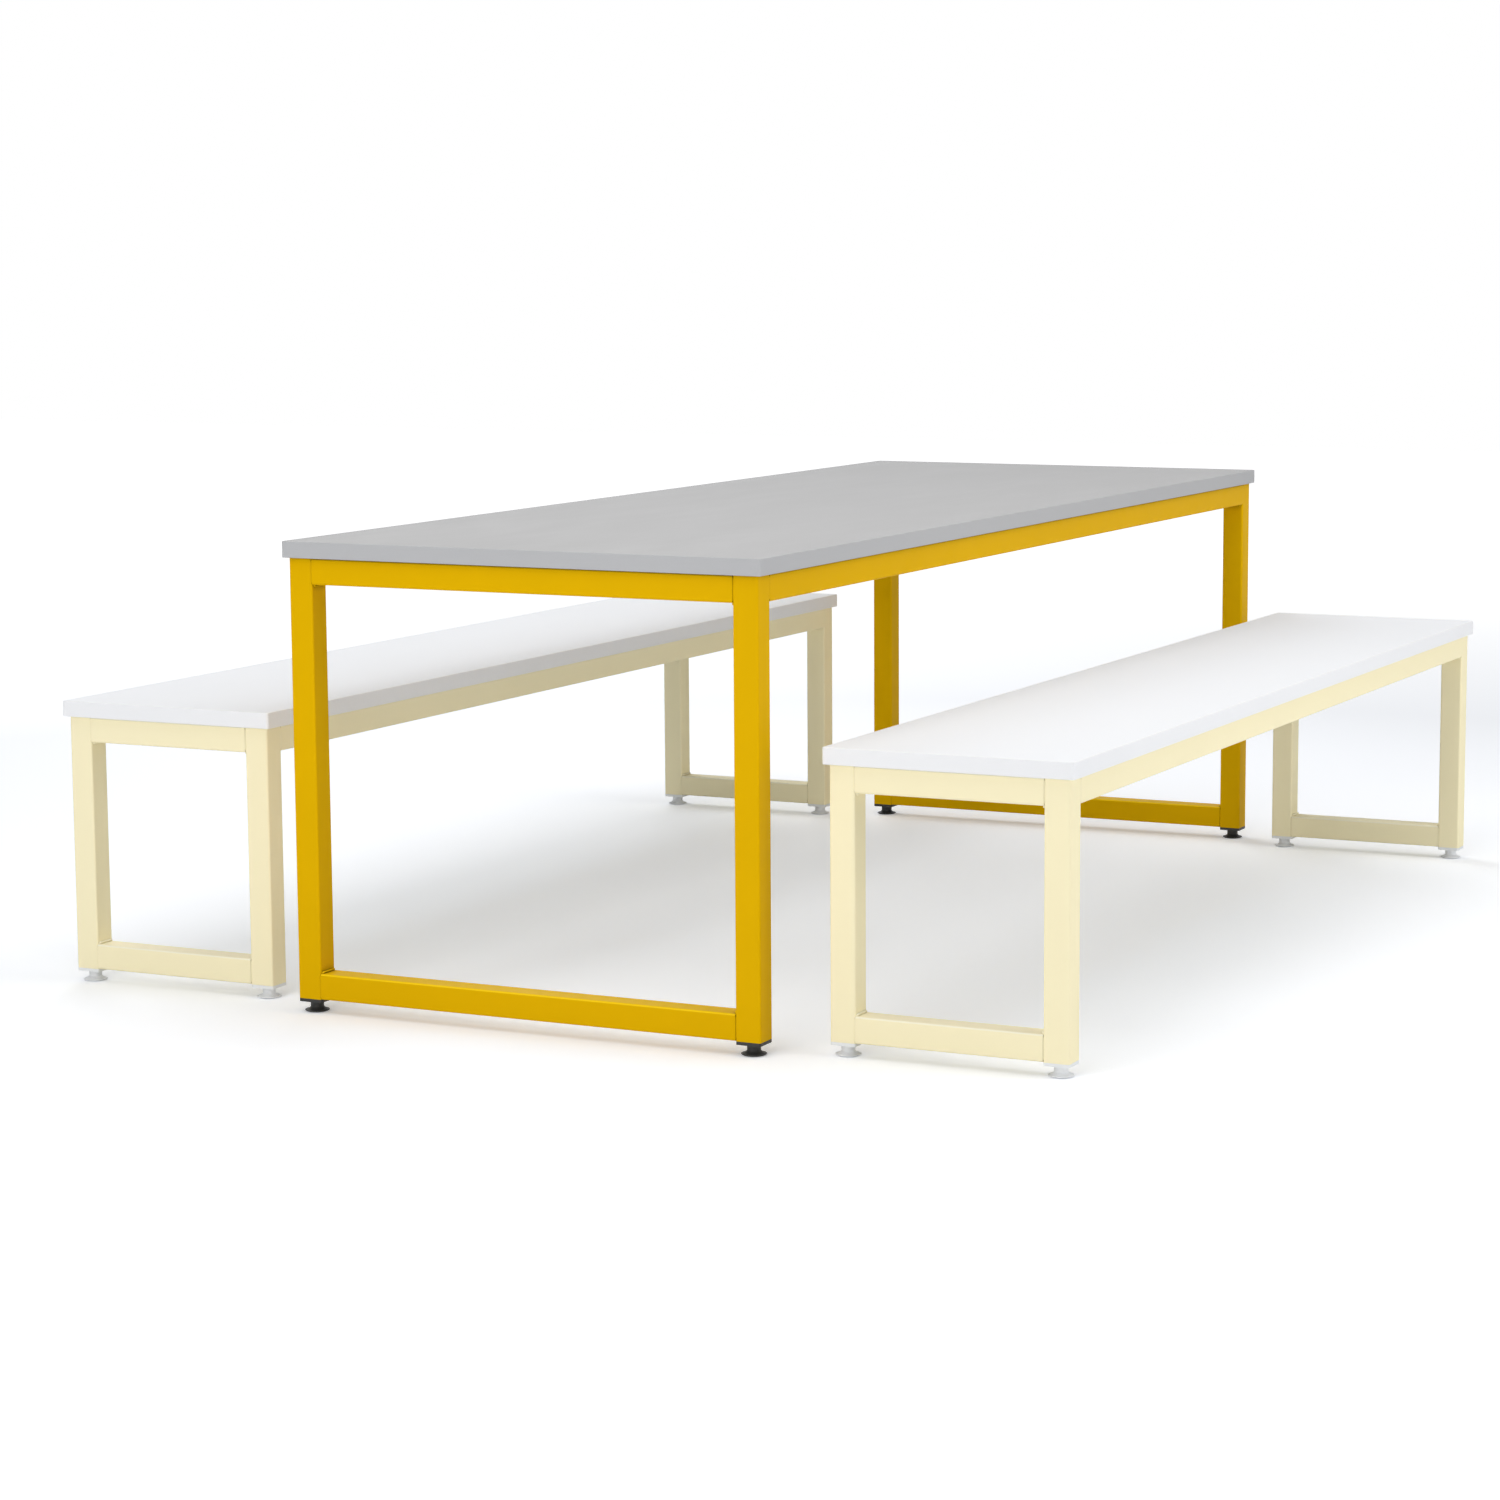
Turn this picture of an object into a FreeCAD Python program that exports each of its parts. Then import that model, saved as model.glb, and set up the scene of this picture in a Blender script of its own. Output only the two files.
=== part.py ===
import FreeCAD, Part
import Sketcher
import math
import os

# Dining table with two free-standing benches. Each of the three units is a faced board on a
# welded frame of square tube, and stands on levelling feet screwed into the leg ends.
# Frame: origin on the floor under the middle of the table, X along the table, +Z up,
# the front bench on the -Y side. Millimetres.

Vector = FreeCAD.Vector
UP = Vector(0, 0, 1)

SIZES = {
    # table and bench, overall
    "tableLength": 2170,
    "tableWidth": 800,
    "tableHeight": 720,
    "benchLength": 2060,
    "benchWidth": 385,
    "benchHeight": 450,
    "benchGap": 68.5,           # clear floor between the table's edge and a bench, seen from above
    # boards and their edge bands
    "boardThickness": 25,
    "bandThickness": 2,
    "boardCornerRadius": 2,     # the board's own plan corners, inside the band
    "bandArris": 1.2,           # rounding along the band's two outer edges
    "overhang": 8,              # board past the frame, all round
    # square tube
    "tubeSize": 40,
    "tubeWall": 2,
    "tubeRadius": 3.5,
    "tubeInnerRadius": 1.5,
    "seamDepth": 0.3,           # how far a weld's face lies below the tubes beside it
    "weldLeg": 4,
    # leg-end inserts
    "flangeThickness": 5,
    "plugHeight": 24,
    "plugClearance": 0.3,
    "ribHeight": 1.2,
    "ribPitch": 6,
    "ribClearance": 0.05,
    "boreClearance": 0.6,
    # captive nut
    "nutAcrossFlats": 17,
    "nutHeight": 8,
    "nutClearance": 0.1,
    # levelling foot
    "studRadius": 5,
    "studLength": 46,
    "studChamfer": 1,
    "threadClearance": 0.05,
    "hubRadius": 10.2,
    "hubHeight": 7.5,
    "pinRadius": 4,
    "pinLength": 5,
    "pinClearance": 0.05,
    "pinEndGap": 0.5,
    "padRadius": 18.8,
    "padHeight": 9.5,
    "soleRadius": 13,
    "soleRise": 1.8,            # height of the rim's lower edge
    "rimThickness": 1.3,
    "flareHeight": 4.6,         # rise of the hollow curve from the rim to the neck
    # screws that hold a board to its rails
    "screwShankRadius": 2.4,
    "screwHeadRadius": 5,
    "screwHeadHeight": 3,
    "screwBite": 18,            # thread inside the board
    "screwTip": 4,
    "screwTipTaper": 25,        # degrees off the axis
    "pilotClearance": 0.05,
    "pilotSpare": 1,            # depth of the pilot hole past the screw's tip
    "passClearance": 0.4,       # hole in the rail's upper wall
    "accessClearance": 1.5,     # hole in the rail's lower wall, round the head
    "tableScrewPitch": 620,
    "benchScrewPitch": 590,
    "endScrewPitch": 140,
}
LONG_SCREWS = 4                 # in each long rail
END_SCREWS = 2                  # in each end rail

ENDS = {"left": -1, "right": 1}     # along X
SIDES = {"front": -1, "back": 1}    # along Y

document = FreeCAD.newDocument("dining_table_with_benches")
sheet = document.addObject("Spreadsheet::Sheet", "sizes")
for row, (alias, number) in enumerate(SIZES.items(), start=1):
    sheet.set(f"A{row}", alias)
    sheet.set(f"B{row}", str(number))
    sheet.setAlias(f"B{row}", alias)
document.recompute()

nodes = []


# ---------------------------------------------------------------- expressions

def number(expression):
    """The present value of an expression of sheet sizes."""
    return float(sheet.evalExpression(str(expression)))


def unit_sizes(kind, centre_y):
    """Expressions for one unit: a board on a frame, centred on X = 0 and Y = centre_y."""
    unit = {"kind": kind, "centre_y": centre_y}
    unit["length"] = f"sizes.{kind}Length"
    unit["width"] = f"sizes.{kind}Width"
    unit["leg_bottom"] = "(sizes.padHeight + sizes.hubHeight + sizes.flangeThickness)"
    unit["leg_top"] = f"(sizes.{kind}Height - sizes.boardThickness)"
    unit["leg_x"] = f"({unit['length']} / 2 - sizes.overhang - sizes.tubeSize / 2)"
    unit["leg_y"] = f"({unit['width']} / 2 - sizes.overhang - sizes.tubeSize / 2)"
    unit["leg_length"] = f"({unit['leg_top']} - {unit['leg_bottom']})"
    unit["leg_middle"] = f"(({unit['leg_top']} + {unit['leg_bottom']}) / 2)"
    unit["long_rail"] = f"(2 * {unit['leg_x']} - sizes.tubeSize)"
    unit["cross_rail"] = f"(2 * {unit['leg_y']} - sizes.tubeSize)"
    unit["top_rail_z"] = f"({unit['leg_top']} - sizes.tubeSize / 2)"
    unit["foot_rail_z"] = f"({unit['leg_bottom']} + sizes.tubeSize / 2)"
    unit["long_pitch"] = f"sizes.{kind}ScrewPitch"
    return unit


def row_of(count, pitch):
    """Expressions for a row of places a pitch apart, centred on zero."""
    return [f"({index - (count - 1) / 2} * {pitch})" for index in range(count)]


BENCH_Y = "(sizes.tableWidth / 2 + sizes.benchGap + sizes.benchWidth / 2)"
TABLE = unit_sizes("table", "0")
FRONT_BENCH = unit_sizes("bench", f"(-{BENCH_Y})")
BACK_BENCH = unit_sizes("bench", BENCH_Y)


# ---------------------------------------------------------------- bodies and sketches

def new_body(label, x, y, z):
    """A body with its origin at x, y, z, which are expressions."""
    body = document.addObject("PartDesign::Body", label)
    body.Label = label
    body.AllowCompound = True
    for axis, place in zip("xyz", (x, y, z)):
        body.setExpression(f".Placement.Base.{axis}", str(place))
    nodes.append(body)
    return body


def origin_of(body, role):
    """The body's own origin plane or axis of that role."""
    return next(item for item in body.Origin.OriginFeatures if item.Role == role)


def new_sketch(body, name, plane, offset=None):
    """A sketch on one of the body's origin planes, moved along its normal by offset."""
    sketch = body.newObject("Sketcher::SketchObject", name)
    sketch.AttachmentSupport = [(origin_of(body, plane), "")]
    sketch.MapMode = "FlatFace"
    if offset is not None:
        sketch.setExpression(".AttachmentOffset.Base.z", str(offset))
    return sketch


def bind(sketch, constraint, expression):
    """Add a dimension and tie it to an expression."""
    index = sketch.addConstraint(constraint)
    sketch.setExpression(f"Constraints[{index}]", str(expression))


def fix_point(sketch, element, end, x, y):
    """Tie a point of the sketch to the coordinates x, y, which are expressions."""
    axes = (("DistanceX", x, -2), ("DistanceY", y, -1))
    for dimension, expression, axis in axes:
        place = number(expression)
        if abs(place) < 1e-9:
            sketch.addConstraint(Sketcher.Constraint("PointOnObject", element, end, axis))
        elif place > 0:
            bind(sketch, Sketcher.Constraint(dimension, -1, 1, element, end, place), expression)
        else:
            bind(sketch, Sketcher.Constraint(dimension, element, end, -1, 1, -place), f"-{expression}")


def add_circle(sketch, x, y, radius):
    """A circle at x, y."""
    centre = Vector(number(x), number(y), 0)
    element = sketch.addGeometry(Part.Circle(centre, UP, number(radius)), False)
    bind(sketch, Sketcher.Constraint("Radius", element, number(radius)), radius)
    fix_point(sketch, element, 3, x, y)


def add_rounded_rectangle(sketch, width, depth, radius):
    """A rectangle about the sketch's origin with round corners."""
    across, deep, round_off = number(width) / 2, number(depth) / 2, number(radius)
    inner_x, inner_y = across - round_off, deep - round_off
    quarter = math.pi / 2
    first = sketch.GeometryCount
    places = [(inner_x, -inner_y), (inner_x, inner_y), (-inner_x, inner_y), (-inner_x, -inner_y)]
    sides = [
        Part.LineSegment(Vector(-inner_x, -deep, 0), Vector(inner_x, -deep, 0)),
        Part.LineSegment(Vector(across, -inner_y, 0), Vector(across, inner_y, 0)),
        Part.LineSegment(Vector(inner_x, deep, 0), Vector(-inner_x, deep, 0)),
        Part.LineSegment(Vector(-across, inner_y, 0), Vector(-across, -inner_y, 0)),
    ]
    shapes = []
    for turn, (side, place) in enumerate(zip(sides, places)):
        circle = Part.Circle(Vector(*place, 0), UP, round_off)
        shapes.append(side)
        shapes.append(Part.ArcOfCircle(circle, (turn - 1) * quarter, turn * quarter))
    sketch.addGeometry(shapes, False)
    joints = []
    for step in range(8):
        following = first + (step + 1) % 8
        joints.append(Sketcher.Constraint("Tangent", first + step, 2, following, 1))
    for step, direction in ((0, "Horizontal"), (2, "Vertical"), (4, "Horizontal"), (6, "Vertical")):
        joints.append(Sketcher.Constraint(direction, first + step))
    for step in (3, 5, 7):
        joints.append(Sketcher.Constraint("Equal", first + 1, first + step))
    joints.append(Sketcher.Constraint("Symmetric", first + 3, 3, first + 7, 3, -1, 1))
    sketch.addConstraint(joints)
    bind(sketch, Sketcher.Constraint("Radius", first + 1, round_off), radius)
    bind(sketch, Sketcher.Constraint("DistanceX", first + 7, 3, first + 1, 3, 2 * inner_x),
         f"{width} - 2 * {radius}")
    bind(sketch, Sketcher.Constraint("DistanceY", first + 1, 3, first + 3, 3, 2 * inner_y),
         f"{depth} - 2 * {radius}")


def arc_between(start, end, radius, bend):
    """The short arc from start to end, with its centre on the left for bend 1, right for -1."""
    chord = end - start
    left = Vector(-chord.y, chord.x, 0) / chord.Length
    height = math.sqrt(max(radius ** 2 - (chord.Length / 2) ** 2, 0))
    centre = (start + end) / 2 + left * height * bend
    angles = [math.atan2(point.y - centre.y, point.x - centre.x) for point in (start, end)]
    if bend < 0:
        angles.reverse()
    return Part.ArcOfCircle(Part.Circle(centre, UP, radius), *angles)


def add_profile(sketch, corners, arcs=None):
    """A closed outline through corners; arcs gives (radius, bend) by the segment's number."""
    arcs = arcs or {}
    points = [Vector(number(x), number(y), 0) for x, y in corners]
    first = sketch.GeometryCount
    starts, ends = [], []
    for step, start in enumerate(points):
        end = points[(step + 1) % len(points)]
        radius, bend = arcs.get(step, (None, 1))
        shape = arc_between(start, end, number(radius), bend) if radius else Part.LineSegment(start, end)
        sketch.addGeometry(shape, False)
        starts.append(1 if bend > 0 else 2)
        ends.append(2 if bend > 0 else 1)
    for step in range(len(points)):
        following = (step + 1) % len(points)
        sketch.addConstraint(Sketcher.Constraint(
            "Coincident", first + step, ends[step], first + following, starts[following]))
    for step, (x, y) in enumerate(corners):
        fix_point(sketch, first + step, starts[step], x, y)
    for step, (radius, _) in arcs.items():
        bind(sketch, Sketcher.Constraint("Radius", first + step, number(radius)), radius)


def pad(body, name, sketch, length, symmetric=False, reverse=False):
    """Pad a sketch along its normal."""
    feature = body.newObject("PartDesign::Pad", name)
    feature.Profile = sketch
    feature.setExpression("Length", str(length))
    feature.SideType = "Symmetric" if symmetric else "One side"
    feature.Reversed = reverse
    return feature


def pocket(body, name, sketch, depth, upward):
    """Cut a sketch out of the body, up or down; the body has to lose volume by it."""
    document.recompute()
    before = body.Shape.Volume
    feature = body.newObject("PartDesign::Pocket", name)
    feature.Profile = sketch
    feature.setExpression("Length", str(depth))
    feature.Reversed = upward
    document.recompute()
    if body.Shape.Volume >= before:
        raise RuntimeError(f"{name} cuts nothing from {body.Label}")
    return feature


def turn(body, name, sketch):
    """Revolve a sketch about its vertical axis."""
    feature = body.newObject("PartDesign::Revolution", name)
    feature.Profile = sketch
    feature.ReferenceAxis = (sketch, ["V_Axis"])
    feature.Angle = 360
    return feature


def repeat(body, name, features, spans):
    """Repeat features along the body's axes; spans lists (axis, whole distance, count)."""
    if not spans:
        return
    pattern = body.newObject("PartDesign::MultiTransform", name)
    steps = []
    for axis, distance, count in spans:
        step = body.newObject("PartDesign::LinearPattern", f"{name}_along_{axis}")
        step.Direction = (origin_of(body, f"{axis}_Axis"), [""])
        step.setExpression("Length", str(distance))
        step.Occurrences = count
        steps.append(step)
    pattern.Originals = features
    pattern.Transformations = steps
    body.Tip = pattern


def four_corners(unit):
    """The pattern that takes a piece from the front left leg to all four."""
    return [("X", f"2 * {unit['leg_x']}", 2), ("Y", f"2 * {unit['leg_y']}", 2)]


# ---------------------------------------------------------------- boards

def board_outline(unit, inset):
    """Length, width and corner radius of a unit's board, inset from its outer edge."""
    length = f"({unit['length']} - 2 * {inset})"
    width = f"({unit['width']} - 2 * {inset})"
    return length, width, f"(sizes.boardCornerRadius + sizes.bandThickness - {inset})"


def screw_places(unit):
    """Where the screws stand, from the unit's middle: first the long rails, then the ends."""
    places = []
    for side in SIDES.values():
        for x in row_of(LONG_SCREWS, unit["long_pitch"]):
            places.append((x, f"({side} * {unit['leg_y']})"))
    for end in ENDS.values():
        for y in row_of(END_SCREWS, "sizes.endScrewPitch"):
            places.append((f"({end} * {unit['leg_x']})", y))
    return places


def make_board(unit, label):
    """The faced board, inside its edge band, with a pilot hole for each screw."""
    body = new_body(label, "0", unit["centre_y"], unit["leg_top"])
    outline = new_sketch(body, f"{label}_outline", "XY_Plane")
    add_rounded_rectangle(outline, *board_outline(unit, "sizes.bandThickness"))
    pad(body, f"{label}_slab", outline, "sizes.boardThickness")
    pilots = new_sketch(body, f"{label}_pilots", "XY_Plane")
    for x, y in screw_places(unit):
        add_circle(pilots, x, y, "(sizes.screwShankRadius + sizes.pilotClearance)")
    pocket(body, f"{label}_pilot_holes", pilots, "sizes.screwBite + sizes.pilotSpare", upward=True)


def make_edge_band(unit, label):
    """The band round the board, with its outer edges eased above and below."""
    body = new_body(label, "0", unit["centre_y"], unit["leg_top"])
    ring = new_sketch(body, f"{label}_ring", "XY_Plane")
    add_rounded_rectangle(ring, *board_outline(unit, "0"))
    add_rounded_rectangle(ring, *board_outline(unit, "sizes.bandThickness"))
    strip = pad(body, f"{label}_strip", ring, "sizes.boardThickness")
    document.recompute()
    ease = body.newObject("PartDesign::Fillet", f"{label}_arrises")
    ease.Base = (strip, outer_edges(strip.Shape))
    ease.setExpression("Radius", "min(sizes.bandArris; 0.9 * sizes.bandThickness)")


def outer_edges(ring):
    """Names of the edges round the outside of a ring's upper and lower faces."""
    rims = [face.OuterWire for face in ring.Faces if face.BoundBox.ZLength < 1e-3]
    names = []
    for index, edge in enumerate(ring.Edges, start=1):
        if any(edge.isSame(other) for rim in rims for other in rim.Edges):
            names.append(f"Edge{index}")
    return names


# ---------------------------------------------------------------- tubes

def make_tube(label, axis, length, place, copies=(), screws=None):
    """Square tube centred on place, along axis; screws gives (count, pitch) of its holes."""
    body = new_body(label, *place)
    plane = {"X": "YZ_Plane", "Y": "XZ_Plane", "Z": "XY_Plane"}[axis]
    section = new_sketch(body, f"{label}_section", plane)
    inside = "(sizes.tubeSize - 2 * sizes.tubeWall)"
    add_rounded_rectangle(section, "sizes.tubeSize", "sizes.tubeSize", "sizes.tubeRadius")
    add_rounded_rectangle(section, inside, inside, "sizes.tubeInnerRadius")
    features = [pad(body, f"{label}_length", section, length, symmetric=True)]
    if screws:
        features += screw_holes(body, label, axis, screws)
    repeat(body, f"{label}_copies", features, copies)


def screw_holes(body, label, axis, screws):
    """Screw holes through a rail's upper wall, and wider ones below them for the heads."""
    holes = []
    for name, radius, upward in (
            ("pass", "(sizes.screwShankRadius + sizes.passClearance)", True),
            ("access", "(sizes.screwHeadRadius + sizes.accessClearance)", False)):
        circles = new_sketch(body, f"{label}_{name}", "XY_Plane")
        for place in row_of(*screws):
            x, y = (place, "0") if axis == "X" else ("0", place)
            add_circle(circles, x, y, radius)
        holes.append(pocket(body, f"{label}_{name}_holes", circles, "sizes.tubeSize", upward))
    return holes


def make_table_tubes(unit):
    """The table's ten tubes, each its own piece."""
    for side, along_y in SIDES.items():
        for end, along_x in ENDS.items():
            place = (f"{along_x} * {unit['leg_x']}", f"{along_y} * {unit['leg_y']}", unit["leg_middle"])
            make_tube(f"table_leg_{side}_{end}", "Z", unit["leg_length"], place)
        place = ("0", f"{along_y} * {unit['leg_y']}", unit["top_rail_z"])
        make_tube(f"table_long_rail_{side}", "X", unit["long_rail"], place,
                  screws=(LONG_SCREWS, unit["long_pitch"]))
    for end, along_x in ENDS.items():
        place = (f"{along_x} * {unit['leg_x']}", "0", unit["top_rail_z"])
        make_tube(f"table_end_rail_{end}", "Y", unit["cross_rail"], place,
                  screws=(END_SCREWS, "sizes.endScrewPitch"))
        place = (f"{along_x} * {unit['leg_x']}", "0", unit["foot_rail_z"])
        make_tube(f"table_foot_rail_{end}", "Y", unit["cross_rail"], place)


def make_bench_tubes(unit, name):
    """A bench's tubes, one piece of a kind with its twins."""
    left = f"-{unit['leg_x']}"
    front = f"{unit['centre_y']} - {unit['leg_y']}"
    across = [("X", f"2 * {unit['leg_x']}", 2)]
    make_tube(f"{name}_legs", "Z", unit["leg_length"], (left, front, unit["leg_middle"]),
              copies=four_corners(unit))
    make_tube(f"{name}_end_rails", "Y", unit["cross_rail"], (left, unit["centre_y"], unit["top_rail_z"]),
              copies=across, screws=(END_SCREWS, "sizes.endScrewPitch"))
    make_tube(f"{name}_foot_rails", "Y", unit["cross_rail"],
              (left, unit["centre_y"], unit["foot_rail_z"]), copies=across)
    make_tube(f"{name}_long_rails", "X", unit["long_rail"], ("0", front, unit["top_rail_z"]),
              copies=[("Y", f"2 * {unit['leg_y']}", 2)], screws=(LONG_SCREWS, unit["long_pitch"]))


# ---------------------------------------------------------------- welds

# A leg's round edge beside a rail: the edge's way from the leg's middle along X and Y
# (1 is away from the unit's middle), and how far the weld there lies back along X and Y.
OUTSIDE = (1, -1, "sizes.seamDepth", "0")
INSIDE = (-1, -1, "sizes.seamDepth", "0")
HIDDEN = (-1, -1, "0", "0")
BESIDE = (-1, 1, "0", "sizes.seamDepth")


def make_welds(unit, label):
    """Fillet welds inside each corner, and the fills beside each leg's round edges."""
    body = new_body(label, "0", unit["centre_y"], "0")
    run = "(sizes.tubeSize - 2 * sizes.tubeRadius)"
    under_rail = f"({unit['leg_top']} - sizes.tubeSize)"
    over_foot_rail = f"({unit['leg_bottom']} + sizes.tubeSize)"
    half_cross = f"({unit['cross_rail']} / 2)"
    half_long = f"({unit['long_rail']} / 2)"
    for end, along_x in ENDS.items():
        beads = new_sketch(body, f"{label}_{end}", "YZ_Plane", f"{along_x} * {unit['leg_x']}")
        for side in SIDES.values():
            add_bead(beads, side, half_cross, under_rail, -1)
            add_bead(beads, side, half_cross, over_foot_rail, 1)
        pad(body, f"{label}_{end}_beads", beads, run, symmetric=True)
    for side, along_y in SIDES.items():
        beads = new_sketch(body, f"{label}_{side}", "XZ_Plane", f"{-along_y} * {unit['leg_y']}")
        for end in ENDS.values():
            add_bead(beads, end, half_long, under_rail, -1)
        pad(body, f"{label}_{side}_beads", beads, run, symmetric=True)
    for level, height, corners in (
            ("foot", unit["foot_rail_z"], (OUTSIDE, INSIDE)),
            ("top", unit["top_rail_z"], (OUTSIDE, HIDDEN, BESIDE))):
        fills = new_sketch(body, f"{label}_{level}_fills", "XY_Plane", height)
        for end in ENDS.values():
            for side in SIDES.values():
                for corner in corners:
                    add_fill(fills, unit, end, side, corner)
        pad(body, f"{label}_{level}_fill_runs", fills, run, symmetric=True)


def add_bead(sketch, side, corner, height, rise):
    """A fillet weld's triangle in the corner at side * corner, height, opening by rise."""
    at = f"({side} * {corner})"
    towards = f"({side} * ({corner} - sizes.weldLeg))"
    away = f"({height} + {rise} * sizes.weldLeg)"
    add_profile(sketch, [(at, height), (towards, height), (at, away)])


def add_fill(sketch, unit, end, side, corner):
    """The weld that makes a leg's round edge nearly square again where a rail meets it."""
    reach_x, reach_y, set_back_x, set_back_y = corner
    way_x, way_y = end * reach_x, side * reach_y
    edge_x = f"({end} * {unit['leg_x']} + {way_x} * sizes.tubeSize / 2)"
    edge_y = f"({side} * {unit['leg_y']} + {way_y} * sizes.tubeSize / 2)"
    face_x = f"({edge_x} - {way_x} * {set_back_x})"
    face_y = f"({edge_y} - {way_y} * {set_back_y})"
    start_x = f"({edge_x} - {way_x} * (sizes.tubeRadius - {half_chord(set_back_y)}))"
    end_y = f"({edge_y} - {way_y} * (sizes.tubeRadius - {half_chord(set_back_x)}))"
    corners = [(start_x, face_y), (face_x, end_y), (face_x, face_y)]
    add_profile(sketch, corners, {0: ("sizes.tubeRadius", -way_x * way_y)})


def half_chord(depth):
    """Half the chord of a tube's round edge at a depth below the face."""
    return f"sqrt({depth} * (2 * sizes.tubeRadius - {depth}))"


# ---------------------------------------------------------------- leg ends

def make_inserts(unit, label):
    """A square plug with a flange under each leg, bored for the stud and seated for the nut."""
    body = new_body(label, f"-{unit['leg_x']}", f"{unit['centre_y']} - {unit['leg_y']}",
                    unit["leg_bottom"])
    flange = new_sketch(body, f"{label}_flange_outline", "XY_Plane")
    add_rounded_rectangle(flange, "sizes.tubeSize", "sizes.tubeSize", "sizes.tubeRadius")
    features = [pad(body, f"{label}_flanges", flange, "sizes.flangeThickness", reverse=True)]
    plug = new_sketch(body, f"{label}_plug_outline", "XY_Plane")
    inside = "(sizes.tubeSize - 2 * sizes.tubeWall)"
    plug_width = f"({inside} - 2 * sizes.plugClearance)"
    corner = "sizes.tubeInnerRadius"
    add_rounded_rectangle(plug, plug_width, plug_width, corner)
    features.append(pad(body, f"{label}_plugs", plug, "sizes.plugHeight"))
    rib_width = f"({inside} - 2 * sizes.ribClearance)"
    for step in (1, 2):
        rib = new_sketch(body, f"{label}_rib_{step}", "XY_Plane", f"{step} * sizes.ribPitch")
        add_rounded_rectangle(rib, rib_width, rib_width, corner)
        features.append(pad(body, f"{label}_ribs_{step}", rib, "sizes.ribHeight"))
    bore = new_sketch(body, f"{label}_bore", "XY_Plane", "-sizes.flangeThickness")
    add_circle(bore, "0", "0", "(sizes.studRadius + sizes.boreClearance)")
    features.append(pocket(body, f"{label}_bores", bore,
                           "sizes.flangeThickness + sizes.plugHeight", upward=True))
    seat = new_sketch(body, f"{label}_nut_seat", "XY_Plane", "sizes.plugHeight")
    add_hexagon(seat, "(sizes.nutAcrossFlats + 2 * sizes.nutClearance)")
    features.append(pocket(body, f"{label}_nut_seats", seat, "sizes.nutHeight", upward=False))
    repeat(body, f"{label}_copies", features, four_corners(unit))


def add_hexagon(sketch, across_flats):
    """A hexagon about the sketch's origin, flats facing +Y and -Y."""
    radius = f"({across_flats} / sqrt(3))"
    corners = []
    for step in range(6):
        corners.append((f"({radius} * cos({60 * step} deg))", f"({radius} * sin({60 * step} deg))"))
    add_profile(sketch, corners)


def make_nuts(unit, label):
    """A captive nut in each plug."""
    body = new_body(label, f"-{unit['leg_x']}", f"{unit['centre_y']} - {unit['leg_y']}",
                    f"{unit['leg_bottom']} + sizes.plugHeight - sizes.nutHeight")
    hexagon = new_sketch(body, f"{label}_hexagon", "XY_Plane")
    add_hexagon(hexagon, "sizes.nutAcrossFlats")
    features = [pad(body, f"{label}_blanks", hexagon, "sizes.nutHeight")]
    bore = new_sketch(body, f"{label}_bore", "XY_Plane")
    add_circle(bore, "0", "0", "(sizes.studRadius + sizes.threadClearance)")
    features.append(pocket(body, f"{label}_threads", bore, "sizes.nutHeight", upward=True))
    repeat(body, f"{label}_copies", features, four_corners(unit))


# ---------------------------------------------------------------- levelling feet

def rising_curve(across, rise):
    """The radius of an arc that starts level and rises by rise over the distance across."""
    return f"(({across} * {across} + {rise} * {rise}) / (2 * {rise}))"


def make_pad(label, x, y):
    """The foot's round base: a domed sole, a thin rim and a hollow flare up to the neck."""
    body = new_body(label, x, y, "0")
    profile = new_sketch(body, f"{label}_profile", "XZ_Plane")
    rim_top = "(sizes.soleRise + sizes.rimThickness)"
    neck_bottom = f"({rim_top} + sizes.flareHeight)"
    socket_radius = "(sizes.pinRadius + sizes.pinClearance)"
    socket_floor = "(sizes.padHeight - sizes.pinLength - sizes.pinEndGap)"
    corners = [
        ("0", "0"),
        ("sizes.soleRadius", "0"),
        ("sizes.padRadius", "sizes.soleRise"),
        ("sizes.padRadius", rim_top),
        ("sizes.hubRadius", neck_bottom),
        ("sizes.hubRadius", "sizes.padHeight"),
        (socket_radius, "sizes.padHeight"),
        (socket_radius, socket_floor),
        ("0", socket_floor),
    ]
    sole_curve = rising_curve("(sizes.padRadius - sizes.soleRadius)", "sizes.soleRise")
    flare_curve = rising_curve("(sizes.padRadius - sizes.hubRadius)", "sizes.flareHeight")
    add_profile(profile, corners, {1: (sole_curve, 1), 3: (flare_curve, -1)})
    turn(body, f"{label}_turned", profile)


def make_spindle(label, x, y):
    """The foot's screw: a pin in the pad, a hub under the flange and a stud up the leg."""
    body = new_body(label, x, y, "sizes.padHeight")
    profile = new_sketch(body, f"{label}_profile", "XZ_Plane")
    stud_top = "(sizes.hubHeight + sizes.studLength)"
    corners = [
        ("0", "(-sizes.pinLength)"),
        ("sizes.pinRadius", "(-sizes.pinLength)"),
        ("sizes.pinRadius", "0"),
        ("sizes.hubRadius", "0"),
        ("sizes.hubRadius", "sizes.hubHeight"),
        ("sizes.studRadius", "sizes.hubHeight"),
        ("sizes.studRadius", f"({stud_top} - sizes.studChamfer)"),
        ("(sizes.studRadius - sizes.studChamfer)", stud_top),
        ("0", stud_top),
    ]
    add_profile(profile, corners)
    turn(body, f"{label}_turned", profile)


def make_feet(unit, name):
    """A levelling foot under each leg."""
    for side, along_y in SIDES.items():
        for end, along_x in ENDS.items():
            x = f"{along_x} * {unit['leg_x']}"
            y = f"{unit['centre_y']} + {along_y} * {unit['leg_y']}"
            make_pad(f"{name}_foot_pad_{side}_{end}", x, y)
            make_spindle(f"{name}_foot_spindle_{side}_{end}", x, y)


# ---------------------------------------------------------------- screws

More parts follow.
